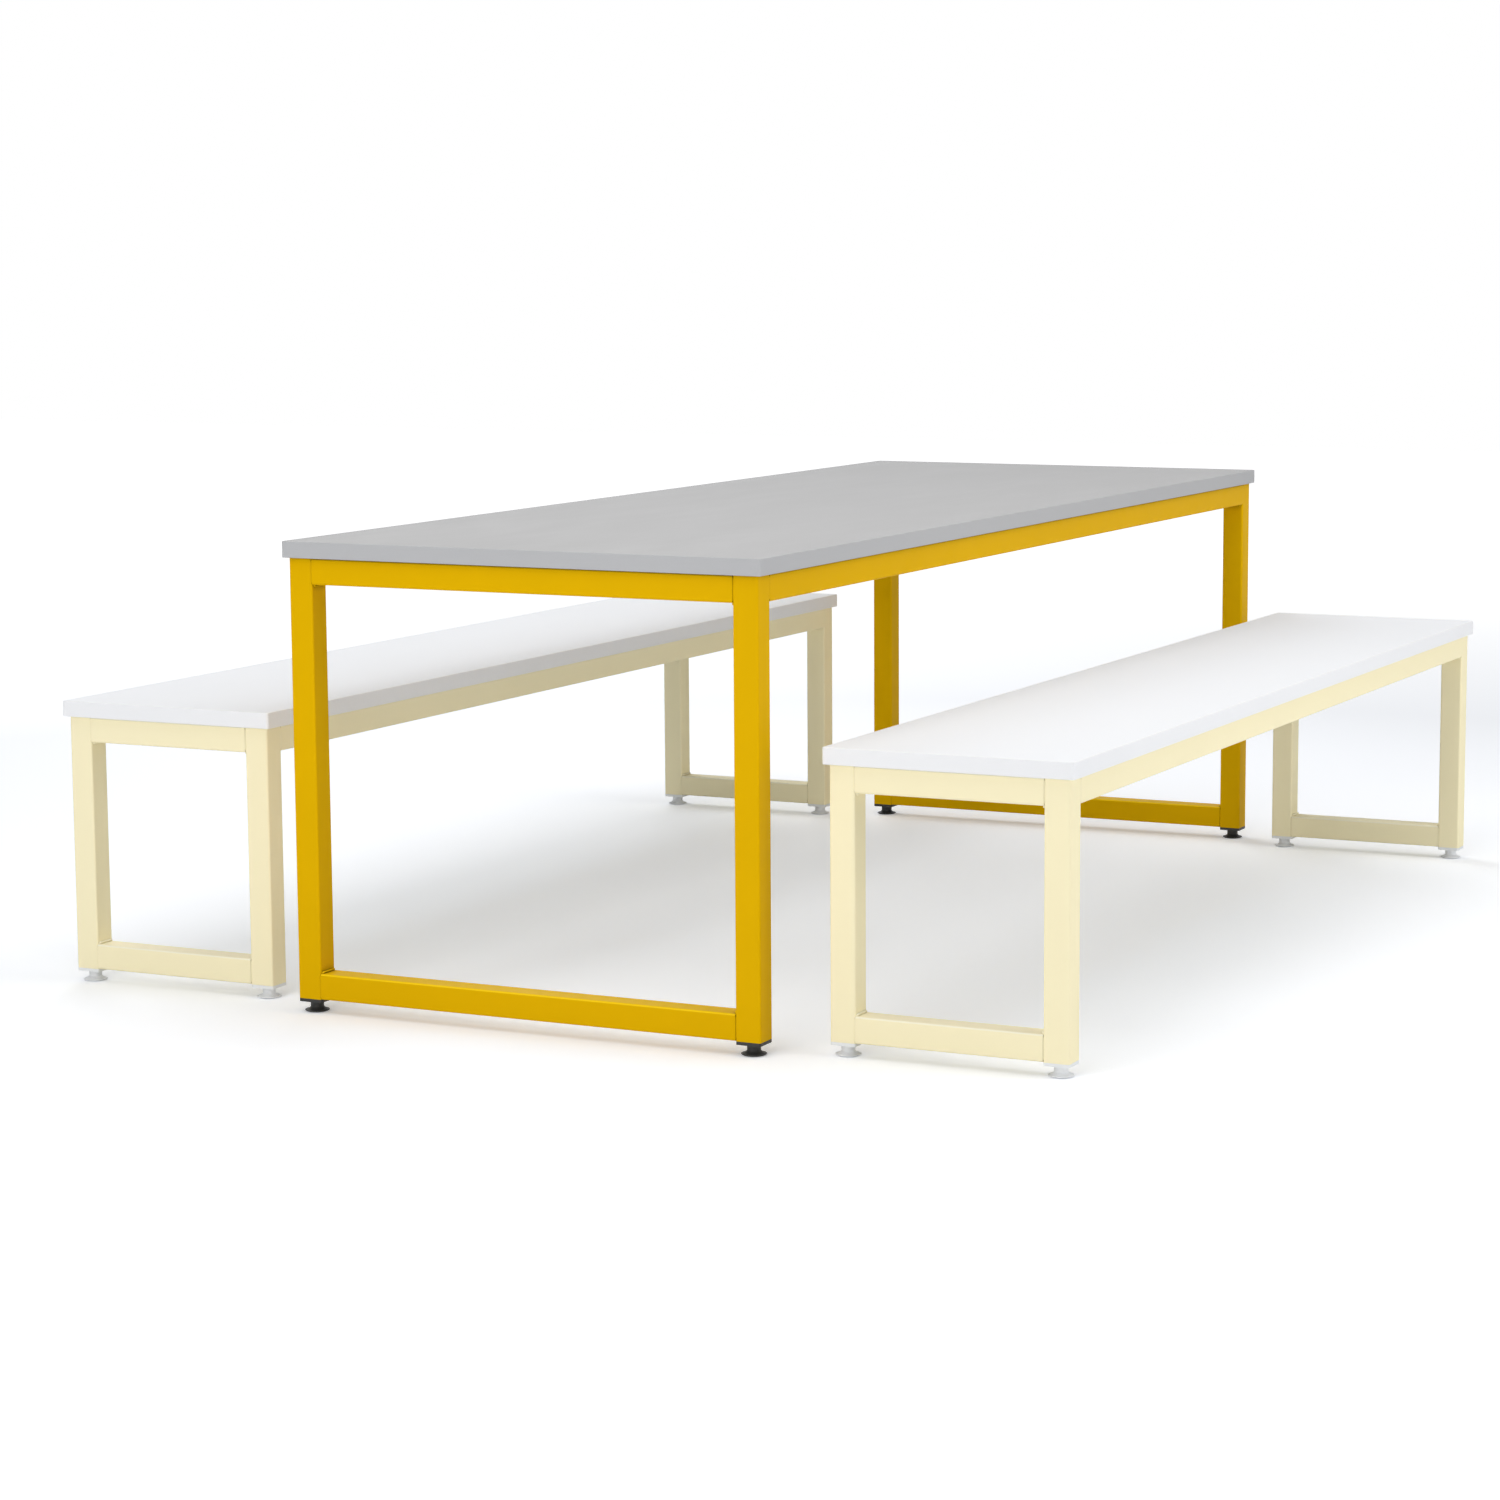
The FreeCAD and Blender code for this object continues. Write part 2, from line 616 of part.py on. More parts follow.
def make_screws(unit, label):
    """The screws up through the rails' upper walls into the board."""
    body = new_body(label, "0", unit["centre_y"], f"{unit['leg_top']} - sizes.tubeWall")
    straight = "(sizes.tubeWall + sizes.screwBite - sizes.screwTip)"
    shank = new_sketch(body, f"{label}_shanks", "XY_Plane")
    head = new_sketch(body, f"{label}_heads", "XY_Plane")
    tip = new_sketch(body, f"{label}_tips", "XY_Plane", straight)
    for x, y in screw_places(unit):
        add_circle(shank, x, y, "sizes.screwShankRadius")
        add_circle(head, x, y, "sizes.screwHeadRadius")
        add_circle(tip, x, y, "sizes.screwShankRadius")
    pad(body, f"{label}_bodies", shank, straight)
    pad(body, f"{label}_pan_heads", head, "sizes.screwHeadHeight", reverse=True)
    points = pad(body, f"{label}_points", tip, "sizes.screwTip")
    points.setExpression("TaperAngle", "-sizes.screwTipTaper")


# ---------------------------------------------------------------- the three units

def make_unit(unit, name, board):
    """Everything of a unit but its tubes."""
    make_board(unit, f"{name}_{board}_board")
    make_edge_band(unit, f"{name}_{board}_edge_band")
    make_welds(unit, f"{name}_weld_beads")
    make_inserts(unit, f"{name}_leg_inserts")
    make_nuts(unit, f"{name}_captive_nuts")
    make_feet(unit, name)
    make_screws(unit, f"{name}_{board}_screws")


make_unit(TABLE, "table", "top")
make_table_tubes(TABLE)
for bench, bench_name in ((FRONT_BENCH, "front_bench"), (BACK_BENCH, "back_bench")):
    make_unit(bench, bench_name, "seat")
    make_bench_tubes(bench, bench_name)

document.recompute()
for item in document.Objects:
    if "Invalid" in item.State or "Error" in item.State:
        raise RuntimeError(f"{item.Name} failed: {item.State}")
for node in nodes:
    if node.Shape.isNull() or not node.Shape.isValid():
        raise RuntimeError(f"{node.Label} has no valid shape")

os.makedirs("parts", exist_ok=True)
for node in nodes:
    node.Shape.exportStep(f"parts/{node.Label}.step")
    print(f"{node.Label}: {len(node.Shape.Solids)} solids, {node.Shape.Volume / 1000:.1f} cm3")
print(len(nodes), "nodes")
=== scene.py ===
from math import asin, atan2, ceil, cos, pi, radians, sin, sqrt
from re import sub

import bmesh
import bpy
from mathutils import Matrix, Vector


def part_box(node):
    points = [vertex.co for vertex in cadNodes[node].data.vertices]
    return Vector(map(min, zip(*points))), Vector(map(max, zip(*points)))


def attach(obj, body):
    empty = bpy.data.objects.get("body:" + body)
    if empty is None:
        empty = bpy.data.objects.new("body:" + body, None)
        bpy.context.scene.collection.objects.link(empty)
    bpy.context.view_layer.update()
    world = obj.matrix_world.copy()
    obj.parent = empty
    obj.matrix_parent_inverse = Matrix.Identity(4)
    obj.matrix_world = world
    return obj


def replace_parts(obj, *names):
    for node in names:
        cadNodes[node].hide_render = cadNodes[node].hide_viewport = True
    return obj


# A dining table and its two benches: boards on welded frames of square tube, standing on levelling feet.
# Metres, in the part's own frame: X along the table, +Z up, the front bench on the -Y side.

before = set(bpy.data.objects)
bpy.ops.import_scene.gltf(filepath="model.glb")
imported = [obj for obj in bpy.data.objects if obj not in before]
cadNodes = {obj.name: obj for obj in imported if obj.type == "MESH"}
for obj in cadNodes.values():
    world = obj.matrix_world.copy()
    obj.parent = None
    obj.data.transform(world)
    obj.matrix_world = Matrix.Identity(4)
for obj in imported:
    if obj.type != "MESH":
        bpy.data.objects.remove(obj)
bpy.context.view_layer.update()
print("frame loaded,", len(cadNodes), "nodes")

units = {
    "table": {"body": "table", "board": "top", "tone": "table"},
    "front_bench": {"body": "bench_front", "board": "seat", "tone": "bench"},
    "back_bench": {"body": "bench_back", "board": "seat", "tone": "bench"},
}
ends = {"left": -1, "right": 1}     # along X
sides = {"front": -1, "back": 1}    # along Y

tube = {
    "size": 0.040,
    "radius": 0.0035,      # round edges along the tube
}


def boxAround(names):
    lows, highs = zip(*[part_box(name) for name in names])
    low = Vector(min(corner[axis] for corner in lows) for axis in range(3))
    high = Vector(max(corner[axis] for corner in highs) for axis in range(3))
    return low, high


def measureUnit(unit):
    # a unit's middle, the places of its legs and the heights where they start and end
    legs = [name for name in cadNodes if name.startswith(f"{unit}_leg") and "insert" not in name]
    low, high = boxAround(legs)
    half = tube["size"] / 2
    return {
        "centreY": (low.y + high.y) / 2,
        "legX": high.x - half,
        "legY": (high.y - low.y) / 2 - half,
        "legBottom": low.z,
        "legTop": high.z,
    }


plans = {unit: measureUnit(unit) for unit in units}


def startTree(name, kind, inputs, outputs):
    # a new node group, with what its input node gives and what its output node takes
    tree = bpy.data.node_groups.new(name, kind)
    for label, socketType, value in inputs:
        socket = tree.interface.new_socket(name=label, in_out="INPUT", socket_type=socketType)
        if value is not None:
            socket.default_value = value
    for label, socketType in outputs:
        tree.interface.new_socket(name=label, in_out="OUTPUT", socket_type=socketType)
    return tree, tree.nodes.new("NodeGroupInput").outputs, tree.nodes.new("NodeGroupOutput").inputs


def colours(*labels):
    return [(label, "NodeSocketColor", None) for label in labels]


def floats(values):
    return [(label, "NodeSocketFloat", value) for label, value in values.items()]


def labelled(look):
    # a dictionary's values under a tree's labels: headRadius becomes Head radius
    return {sub("([A-Z])", r" \1", key).capitalize(): value for key, value in look.items()}


def feed(tree, socket, value):
    # a socket's value, or a link into it
    if isinstance(value, bpy.types.NodeSocket):
        tree.links.new(value, socket)
    elif value is not None:
        socket.default_value = value


def addNode(tree, kind, sockets=None, **settings):
    node = tree.nodes.new(kind)
    for name, value in settings.items():
        setattr(node, name, value)
    for key, value in (sockets or {}).items():
        feed(tree, node.inputs[key], value)
    return node


def resultOf(tree, kind, sockets=None, **settings):
    # what a new node's first output gives
    return addNode(tree, kind, sockets, **settings).outputs[0]


def useEffect(tree, effect, sockets=None):
    return addNode(tree, "ShaderNodeGroup", sockets, node_tree=effect).outputs


def maths(tree, operation, *values):
    return resultOf(tree, "ShaderNodeMath", dict(enumerate(values)), operation=operation)


def times(tree, first, second):
    return maths(tree, "MULTIPLY", first, second)


def vectorMaths(tree, operation, sockets, output=0):
    return addNode(tree, "ShaderNodeVectorMath", sockets, operation=operation).outputs[output]


def vectorOf(tree, **parts):
    return resultOf(tree, "ShaderNodeCombineXYZ", parts)


def partsOf(tree, vector):
    return addNode(tree, "ShaderNodeSeparateXYZ", {0: vector}).outputs


def clamped(tree, value):
    return resultOf(tree, "ShaderNodeClamp", {0: value})


def mapped(tree, value, low, high, toLow=0.0, toHigh=1.0):
    sockets = {0: value, 1: low, 2: high, 3: toLow, 4: toHigh}
    return resultOf(tree, "ShaderNodeMapRange", sockets)


def swung(tree, value, spread=0.2, reach=1.0):
    # a noise's middle, spread wide on either side of it, taken to between -reach and reach
    return mapped(tree, value, 0.5 - spread, 0.5 + spread, -reach, reach)


def noise(tree, where, scale, detail=2.0, roughness=0.5):
    sockets = {"Vector": where, "Scale": scale, "Detail": detail, "Roughness": roughness}
    return addNode(tree, "ShaderNodeTexNoise", sockets).outputs["Fac"]


def mixed(tree, share, first, second):
    sockets = {0: share, 6: first, 7: second}
    return addNode(tree, "ShaderNodeMix", sockets, data_type="RGBA").outputs[2]


def lifted(tree, colour, lift):
    # the colour made lighter or darker
    return resultOf(tree, "ShaderNodeHueSaturation", {"Value": lift, "Color": colour})


def objectPlace(tree):
    return addNode(tree, "ShaderNodeTexCoord").outputs["Object"]


def stretched(tree, where, scale):
    # a pattern comes out narrower along the axes with the larger scale
    return resultOf(tree, "ShaderNodeMapping", {"Vector": where, "Scale": scale})


def faceNormal(tree):
    return addNode(tree, "ShaderNodeNewGeometry").outputs["Normal"]


def srgb(code):
    # a linear colour from its six-digit code
    parts = [int(code[place:place + 2], 16) / 255 for place in (0, 2, 4)]
    linear = [part / 12.92 if part <= 0.04045 else ((part + 0.055) / 1.055) ** 2.4 for part in parts]
    return (*linear, 1.0)


def makeSoftEdge():
    # rounds a sharp edge's shading, and masks the edges themselves
    tree, given, result = startTree(
        "softEdge", "ShaderNodeTree",
        floats({"Radius": 0.0005, "Gain": 4.0}),
        [("Normal", "NodeSocketVector"), ("Edge", "NodeSocketFloat")])
    bevel = resultOf(tree, "ShaderNodeBevel", {"Radius": given["Radius"]}, samples=4)
    alike = vectorMaths(tree, "DOT_PRODUCT", {0: bevel, 1: faceNormal(tree)}, "Value")
    away = maths(tree, "SUBTRACT", 1.0, alike)
    feed(tree, result["Normal"], bevel)
    feed(tree, result["Edge"], clamped(tree, times(tree, away, given["Gain"])))
    return tree


def makePaintedArrisHighlight():
    # painted highlight: masks what faces upwards, to be painted in a brighter colour as if lit from above:
    # rounded edges most of all, level faces by the level share. A slope is the normal's upward part, 1 on a
    # level face.
    tree, given, result = startTree(
        "paintedArrisHighlight", "ShaderNodeTree",
        floats({"Lowest slope": 0.2, "Slope range": 0.25, "Level from": 0.87, "Level to": 0.97,
                "Level share": 0.55}),
        [("Arris", "NodeSocketFloat")])
    slope = partsOf(tree, faceNormal(tree))["Z"]
    full = maths(tree, "ADD", given["Lowest slope"], given["Slope range"])
    rising = mapped(tree, slope, given["Lowest slope"], full)
    levelled = mapped(tree, slope, given["Level from"], given["Level to"], 1.0, given["Level share"])
    feed(tree, result["Arris"], times(tree, rising, levelled))
    return tree


def makePaintedNookShade():
    # painted shade: darkens the colour in corners and narrow gaps, found by ambient occlusion
    tree, given, result = startTree(
        "paintedNookShade", "ShaderNodeTree",
        colours("Colour", "Painted shade colour")
        + floats({"Reach": 0.01, "Strength": 0.5, "Open": 0.85, "Closed": 0.25}),
        [("Colour", "NodeSocketColor")])
    sight = addNode(tree, "ShaderNodeAmbientOcclusion", {"Distance": given["Reach"]}, samples=8)
    nook = mapped(tree, sight.outputs["AO"], given["Open"], given["Closed"])
    share = times(tree, nook, given["Strength"])
    feed(tree, result["Colour"], mixed(tree, share, given["Colour"], given["Painted shade colour"]))
    return tree


skinOutputs = [("Colour", "NodeSocketColor"), ("Roughness", "NodeSocketFloat"),
               ("Height", "NodeSocketFloat")]
stretches = {
    "wiping": (3.0, 14.0, 3.0),
    "flow": (1.0, 1.0, 3.0),
    "drawing": (1.0, 1.0, 12.0),
    "band": (0.05, 0.05, 1.0),     # along the edge band, whichever way it runs
}


def finishSkin(tree, result, colour, gloss, height):
    feed(tree, result["Colour"], colour)
    feed(tree, result["Roughness"], gloss)
    feed(tree, result["Height"], height)
    return tree


def makeCoatSkin():
    # powder coat: flow ripple, fine grain, slow drift of tone and gloss
    tree, given, result = startTree(
        "coatSkin", "ShaderNodeTree",
        colours("Colour")
        + floats({"Ripple size": 0.0022, "Grains a ripple": 6.0, "Grain share": 0.12, "Drift": 0.03,
                  "Drift scale": 5.5, "Gloss": 0.3, "Gloss spread": 0.02, "Gloss scale": 38.0}),
        skinOutputs)
    where = objectPlace(tree)
    ripple = noise(tree, where, maths(tree, "DIVIDE", 1.0, given["Ripple size"]), detail=1.5, roughness=0.4)
    fine = maths(tree, "DIVIDE", given["Grains a ripple"], given["Ripple size"])
    height = maths(tree, "MULTIPLY_ADD", noise(tree, where, fine, detail=1.0), given["Grain share"], ripple)
    slow = swung(tree, noise(tree, where, given["Drift scale"], detail=3.0))
    lift = maths(tree, "MULTIPLY_ADD", slow, given["Drift"], 1.0)
    patch = swung(tree, noise(tree, where, given["Gloss scale"]))
    gloss = maths(tree, "MULTIPLY_ADD", patch, given["Gloss spread"], given["Gloss"])
    return finishSkin(tree, result, lifted(tree, given["Colour"], lift), gloss, height)


def makeLaminateSkin():
    # pressed laminate: a fine pearl of shallow cells, a faint fleck, and slow marks of cleaning
    tree, given, result = startTree(
        "laminateSkin", "ShaderNodeTree",
        colours("Colour")
        + floats({"Cell size": 0.0007, "Grains a cell": 0.6, "Grain share": 0.5, "Fleck": 0.03,
                  "Fleck scale": 900.0, "Cloud scale": 2.2, "Gloss": 0.5, "Gloss spread": 0.08,
                  "Wipe scale": 1.6}),
        skinOutputs)
    where = objectPlace(tree)
    scale = maths(tree, "DIVIDE", 1.0, given["Cell size"])
    cells = addNode(tree, "ShaderNodeTexVoronoi", {"Vector": where, "Scale": scale}, feature="SMOOTH_F1")
    grain = noise(tree, where, maths(tree, "DIVIDE", given["Grains a cell"], given["Cell size"]))
    height = maths(tree, "MULTIPLY_ADD", grain, given["Grain share"], cells.outputs["Distance"])
    fleck = swung(tree, noise(tree, where, given["Fleck scale"], roughness=0.7), spread=0.15)
    cloud = swung(tree, noise(tree, where, given["Cloud scale"]), reach=0.4)
    lift = maths(tree, "MULTIPLY_ADD", maths(tree, "ADD", fleck, cloud), given["Fleck"], 1.0)
    along = stretched(tree, where, stretches["wiping"])
    wiped = swung(tree, noise(tree, along, given["Wipe scale"], detail=4.0, roughness=0.6), spread=0.15)
    gloss = maths(tree, "MULTIPLY_ADD", wiped, given["Gloss spread"], given["Gloss"])
    return finishSkin(tree, result, lifted(tree, given["Colour"], lift), gloss, height)


def makeMouldedSkin():
    # moulded nylon: spark-eroded grain and soft flow marks
    tree, given, result = startTree(
        "mouldedSkin", "ShaderNodeTree",
        colours("Colour", "Flow colour")
        + floats({"Grain size": 0.0004, "Flow scale": 70.0, "Flow from": 0.45, "Flow to": 0.75,
                  "Flow share": 0.5, "Gloss": 0.5, "Flow gloss": -0.1}),
        skinOutputs)
    where = objectPlace(tree)
    grain = noise(tree, where, maths(tree, "DIVIDE", 1.0, given["Grain size"]), detail=3.0, roughness=0.6)
    level = stretched(tree, where, stretches["flow"])
    streaks = noise(tree, level, given["Flow scale"], detail=3.0, roughness=0.55)
    flow = mapped(tree, streaks, given["Flow from"], given["Flow to"])
    share = times(tree, flow, given["Flow share"])
    colour = mixed(tree, share, given["Colour"], given["Flow colour"])
    gloss = maths(tree, "MULTIPLY_ADD", flow, given["Flow gloss"], given["Gloss"])
    return finishSkin(tree, result, colour, gloss, grain)


def makeZincSkin():
    # bright zinc plate: bluish and straw-coloured clouds, drawing marks round the piece
    tree, given, result = startTree(
        "zincSkin", "ShaderNodeTree",
        colours("Colour", "Straw colour")
        + floats({"Cloud scale": 160.0, "Cloud from": 0.42, "Cloud to": 0.66, "Mark scale": 420.0,
                  "Gloss": 0.3, "Gloss spread": 0.22}),
        skinOutputs)
    where = objectPlace(tree)
    clouds = noise(tree, where, given["Cloud scale"], detail=4.0, roughness=0.6)
    cloud = mapped(tree, clouds, given["Cloud from"], given["Cloud to"])
    level = stretched(tree, where, stretches["drawing"])
    marks = noise(tree, level, given["Mark scale"], roughness=0.6)
    colour = mixed(tree, cloud, given["Colour"], given["Straw colour"])
    gloss = maths(tree, "MULTIPLY_ADD", marks, given["Gloss spread"], given["Gloss"])
    return finishSkin(tree, result, colour, gloss, marks)


softEdge = makeSoftEdge()
paintedArrisHighlight = makePaintedArrisHighlight()
paintedNookShade = makePaintedNookShade()
coatSkin = makeCoatSkin()
laminateSkin = makeLaminateSkin()
mouldedSkin = makeMouldedSkin()
zincSkin = makeZincSkin()
print("shared effects made")


def newFinish(name):
    material = bpy.data.materials.new(name)
    material.use_nodes = True
    tree = material.node_tree
    return material, tree, tree.nodes["Principled BSDF"].inputs


def softened(tree, build):
    return useEffect(tree, softEdge, {"Radius": build["edgeRadius"], "Gain": build["edgeGain"]})


def deepened(tree, colour, deep, reach, strength):
    sockets = {"Colour": colour, "Painted shade colour": srgb(deep), "Reach": reach, "Strength": strength}
    return useEffect(tree, paintedNookShade, sockets)["Colour"]


def coverWith(tree, shader, build, colour, roughness, height, normal=None):
    depth, strength = build["relief"]
    sockets = {"Height": height, "Distance": depth, "Strength": strength, "Normal": normal}
    feed(tree, shader["Base Color"], colour)
    feed(tree, shader["Roughness"], roughness)
    feed(tree, shader["Normal"], resultOf(tree, "ShaderNodeBump", sockets))
    shader["Specular IOR Level"].default_value = build["specular"]


# the darker colour is painted shade in corners and gaps, and the golden coat's long reach paints the shadow
# under the board's overhang; the edge colour is a painted highlight on edges and upward faces
coats = {
    "goldenCoat": {"colour": "E3B100", "deep": "5E4A00", "edge": "FFD41C", "gloss": 0.44, "drift": 0.018,
                   "nook": 0.8, "reach": 0.02, "arris": 1.0},
    "creamCoat": {"colour": "FFF4CC", "deep": "C9C4AE", "edge": "FFFCEC", "gloss": 0.46, "drift": 0.006,
                  "nook": 0.4, "reach": 0.003, "arris": 0.6},
}
coatBuild = {
    "edgeRadius": 0.0012,
    "edgeGain": 3.0,
    # the edge colour on sharp edges is partly rubbed wear, partly painted highlight
    "wearAndHighlight": 0.3,                # how far the edge colour shows on rubbed edges
    "relief": (0.00004, 0.5),     # depth in metres, and strength
    "specular": 0.025,
}


def makeCoat(name, look):
    finish, tree, shader = newFinish(name)
    soft = softened(tree, coatBuild)
    skin = useEffect(tree, coatSkin, {"Colour": srgb(look["colour"]), "Gloss": look["gloss"],
                                      "Drift": look["drift"]})
    # painted highlight: rounded edges and faces that look upwards take the brighter edge colour
    arris = useEffect(tree, paintedArrisHighlight)["Arris"]
    # sharp edges take the edge colour too: partly rubbed wear, partly painted highlight
    wearAndHighlight = times(tree, soft["Edge"], coatBuild["wearAndHighlight"])
    bright = maths(tree, "MAXIMUM", wearAndHighlight, times(tree, arris, look["arris"]))
    edged = mixed(tree, bright, skin["Colour"], srgb(look["edge"]))
    # painted shade: darker in corners, narrow gaps and under the board's overhang
    shaded = deepened(tree, edged, look["deep"], look["reach"], look["nook"])
    coverWith(tree, shader, coatBuild, shaded, skin["Roughness"], skin["Height"], soft["Normal"])
    return finish


laminates = {
    "greyLaminate": {"colour": "B9B9BA", "under": "D6D4CE", "gloss": 0.72, "fleck": 0.016},
    "whiteLaminate": {"colour": "F2F4F8", "under": "EDECE8", "gloss": 0.72, "fleck": 0.006},
}
laminateBuild = {
    "underFrom": -0.5,        # the upward part of the normal where the balancing sheet's tone begins
    "underTo": -0.7,          # and where it is full
    "relief": (0.00006, 0.35),
    "specular": 0.02,
}


def makeLaminate(name, look):
    finish, tree, shader = newFinish(name)
    skin = useEffect(tree, laminateSkin, {"Colour": srgb(look["colour"]), "Gloss": look["gloss"],
                                          "Fleck": look["fleck"]})
    upward = partsOf(tree, faceNormal(tree))["Z"]
    under = mapped(tree, upward, laminateBuild["underFrom"], laminateBuild["underTo"])
    colour = mixed(tree, under, skin["Colour"], srgb(look["under"]))
    coverWith(tree, shader, laminateBuild, colour, skin["Roughness"], skin["Height"])
    return finish


bands = {
    "greyBand": {"colour": "B9B9BA", "glueAndPaintedShade": "7E7C78", "gloss": 0.60},
    "whiteBand": {"colour": "F4F4F5", "glueAndPaintedShade": "CFCDC8", "gloss": 0.60},
}
bandBuild = {
    "fleck": 0.012,
    "cellSize": 0.0012,
    "reach": 0.0015,
    "nook": 0.5,
    "lineScale": 2400.0,
    "relief": (0.00003, 0.4),
    "specular": 0.05,
}


def makeBand(name, look):
    # extruded edge band: drawn lines along it, and painted shade darkening it in its joints and corners,
    # standing also for a trace of glue there
    finish, tree, shader = newFinish(name)
    skin = useEffect(tree, laminateSkin, {"Colour": srgb(look["colour"]), "Gloss": look["gloss"],
                                          "Fleck": bandBuild["fleck"], "Cell size": bandBuild["cellSize"]})
    shaded = deepened(tree, skin["Colour"], look["glueAndPaintedShade"], bandBuild["reach"], bandBuild["nook"])
    lines = noise(tree, stretched(tree, objectPlace(tree), stretches["band"]), bandBuild["lineScale"])
    coverWith(tree, shader, bandBuild, shaded, skin["Roughness"], lines)
    return finish


nylons = {
    "blackNylon": {"colour": "2E2E2D", "flow": "393938", "edge": "484846", "gloss": 0.52},
    "greyNylon": {"colour": "EDEEEE", "flow": "F2F2F2", "edge": "F6F6F6", "gloss": 0.55},
}
nylonBuild = {
    "edgeRadius": 0.0004,
    "edgeGain": 4.0,
    "wearAndHighlight": 0.5,
    "relief": (0.00005, 0.5),
    "specular": 0.35,
}


def makeNylon(name, look):
    finish, tree, shader = newFinish(name)
    soft = softened(tree, nylonBuild)
    skin = useEffect(tree, mouldedSkin, {"Colour": srgb(look["colour"]), "Flow colour": srgb(look["flow"]),
                                         "Gloss": look["gloss"]})
    # lighter on the sharp edges: partly rubbed wear, partly painted highlight
    wearAndHighlight = times(tree, soft["Edge"], nylonBuild["wearAndHighlight"])
    colour = mixed(tree, wearAndHighlight, skin["Colour"], srgb(look["edge"]))
    coverWith(tree, shader, nylonBuild, colour, skin["Roughness"], skin["Height"], soft["Normal"])
    return finish


zinc = {
    "colour": "C3C7CC",
    "straw": "CFC7AE",
    "deep": "6E6F70",
    "gloss": 0.24,
    "edgeRadius": 0.00025,
    "edgeGain": 4.0,
    "nook": 0.6,
    "reach": 0.002,
    "relief": (0.00002, 0.4),
    "specular": 0.5,
}


def makeZinc():
    finish, tree, shader = newFinish("zincPlate")
    soft = softened(tree, zinc)
    skin = useEffect(tree, zincSkin, {"Colour": srgb(zinc["colour"]), "Straw colour": srgb(zinc["straw"]),
                                      "Gloss": zinc["gloss"]})
    # painted shade: darker in corners and narrow gaps
    shaded = deepened(tree, skin["Colour"], zinc["deep"], zinc["reach"], zinc["nook"])
    coverWith(tree, shader, zinc, shaded, skin["Roughness"], skin["Height"], soft["Normal"])
    shader["Metallic"].default_value = 1.0
    return finish


goldenCoat, creamCoat = [makeCoat(name, look) for name, look in coats.items()]
greyLaminate, whiteLaminate = [makeLaminate(name, look) for name, look in laminates.items()]
greyBand, whiteBand = [makeBand(name, look) for name, look in bands.items()]
blackNylon, greyNylon = [makeNylon(name, look) for name, look in nylons.items()]
zincPlate = makeZinc()

finishes = {
    "table_board": greyLaminate,
    "table_edge_band": greyBand,
    "table_frame": goldenCoat,
    "table_insert": blackNylon,
    "table_foot_pad": blackNylon,
    "table_foot_spindle": blackNylon,
    "bench_board": whiteLaminate,
    "bench_edge_band": whiteBand,
    "bench_frame": creamCoat,
    "bench_insert": greyNylon,
    "bench_foot_pad": greyNylon,
    "bench_foot_spindle": greyNylon,
    "zinc_steel": zincPlate,
}
for node in cadNodes.values():
    for place in node.material_slots:
        place.material = finishes[place.material.name]
print("finishes made,", len(finishes), "slots covered")


def newPiece(name, mesh, materials):
    piece = bpy.data.objects.new(name, mesh)
    bpy.context.scene.collection.objects.link(piece)
    mesh.materials.clear()
    for material in materials:
        mesh.materials.append(material)
    return piece


def ringMesh(rings, zone=None):
    # a closed skin over rings of points, from the bottom pole to the top one; zone gives a band's material
    shape = bmesh.new()
    loops = [[shape.verts.new(point) for point in ring] for ring in rings]
    for index, (lower, upper) in enumerate(zip(loops, loops[1:])):
        count = max(len(lower), len(upper))
        for step in range(count):
            following = (step + 1) % count
            if len(lower) == 1:
                corners = [lower[0], upper[following], upper[step]]
            elif len(upper) == 1:
                corners = [lower[step], lower[following], upper[0]]
            else:
                corners = [lower[step], lower[following], upper[following], upper[step]]
            face = shape.faces.new(corners)
            face.smooth = True
            face.material_index = zone(index) if zone else 0
    bmesh.ops.recalc_face_normals(shape, faces=shape.faces)
    mesh = bpy.data.meshes.new("skin")
    shape.to_mesh(mesh)
    shape.free()
    return mesh


def turnedRings(profile, centre, segments):
    # rings of a profile of (radius, height) about a vertical axis through centre; radius 0 is a pole
    rings = []
    for radius, height in profile:
        if radius == 0:
            rings.append([centre + Vector((0, 0, height))])
            continue
        steps = [2 * pi * step / segments for step in range(segments)]
        rings.append([centre + Vector((radius * cos(turn), radius * sin(turn), height)) for turn in steps])
    return rings


def sharpenEdges(piece, limit=32):
    # smooth shading that still breaks at edges sharper than limit degrees
    piece.data.set_sharp_from_angle(angle=radians(limit))
    return piece


def arcPoints(start, end, radius, bend, steps):
    # points of the short arc from start to end, both (radius, height); bend 1 has its centre on the left
    chord = Vector(end) - Vector(start)
    half = chord.length / 2
    left = Vector((-chord.y, chord.x)).normalized()
    centre = (Vector(start) + Vector(end)) / 2 + left * sqrt(max(radius ** 2 - half ** 2, 0)) * bend
    first = atan2(start[1] - centre.y, start[0] - centre.x)
    sweep = 2 * asin(min(1.0, half / radius)) * bend
    turns = [first + sweep * step / steps for step in range(1, steps + 1)]
    return [(centre.x + radius * cos(turn), centre.y + radius * sin(turn)) for turn in turns]


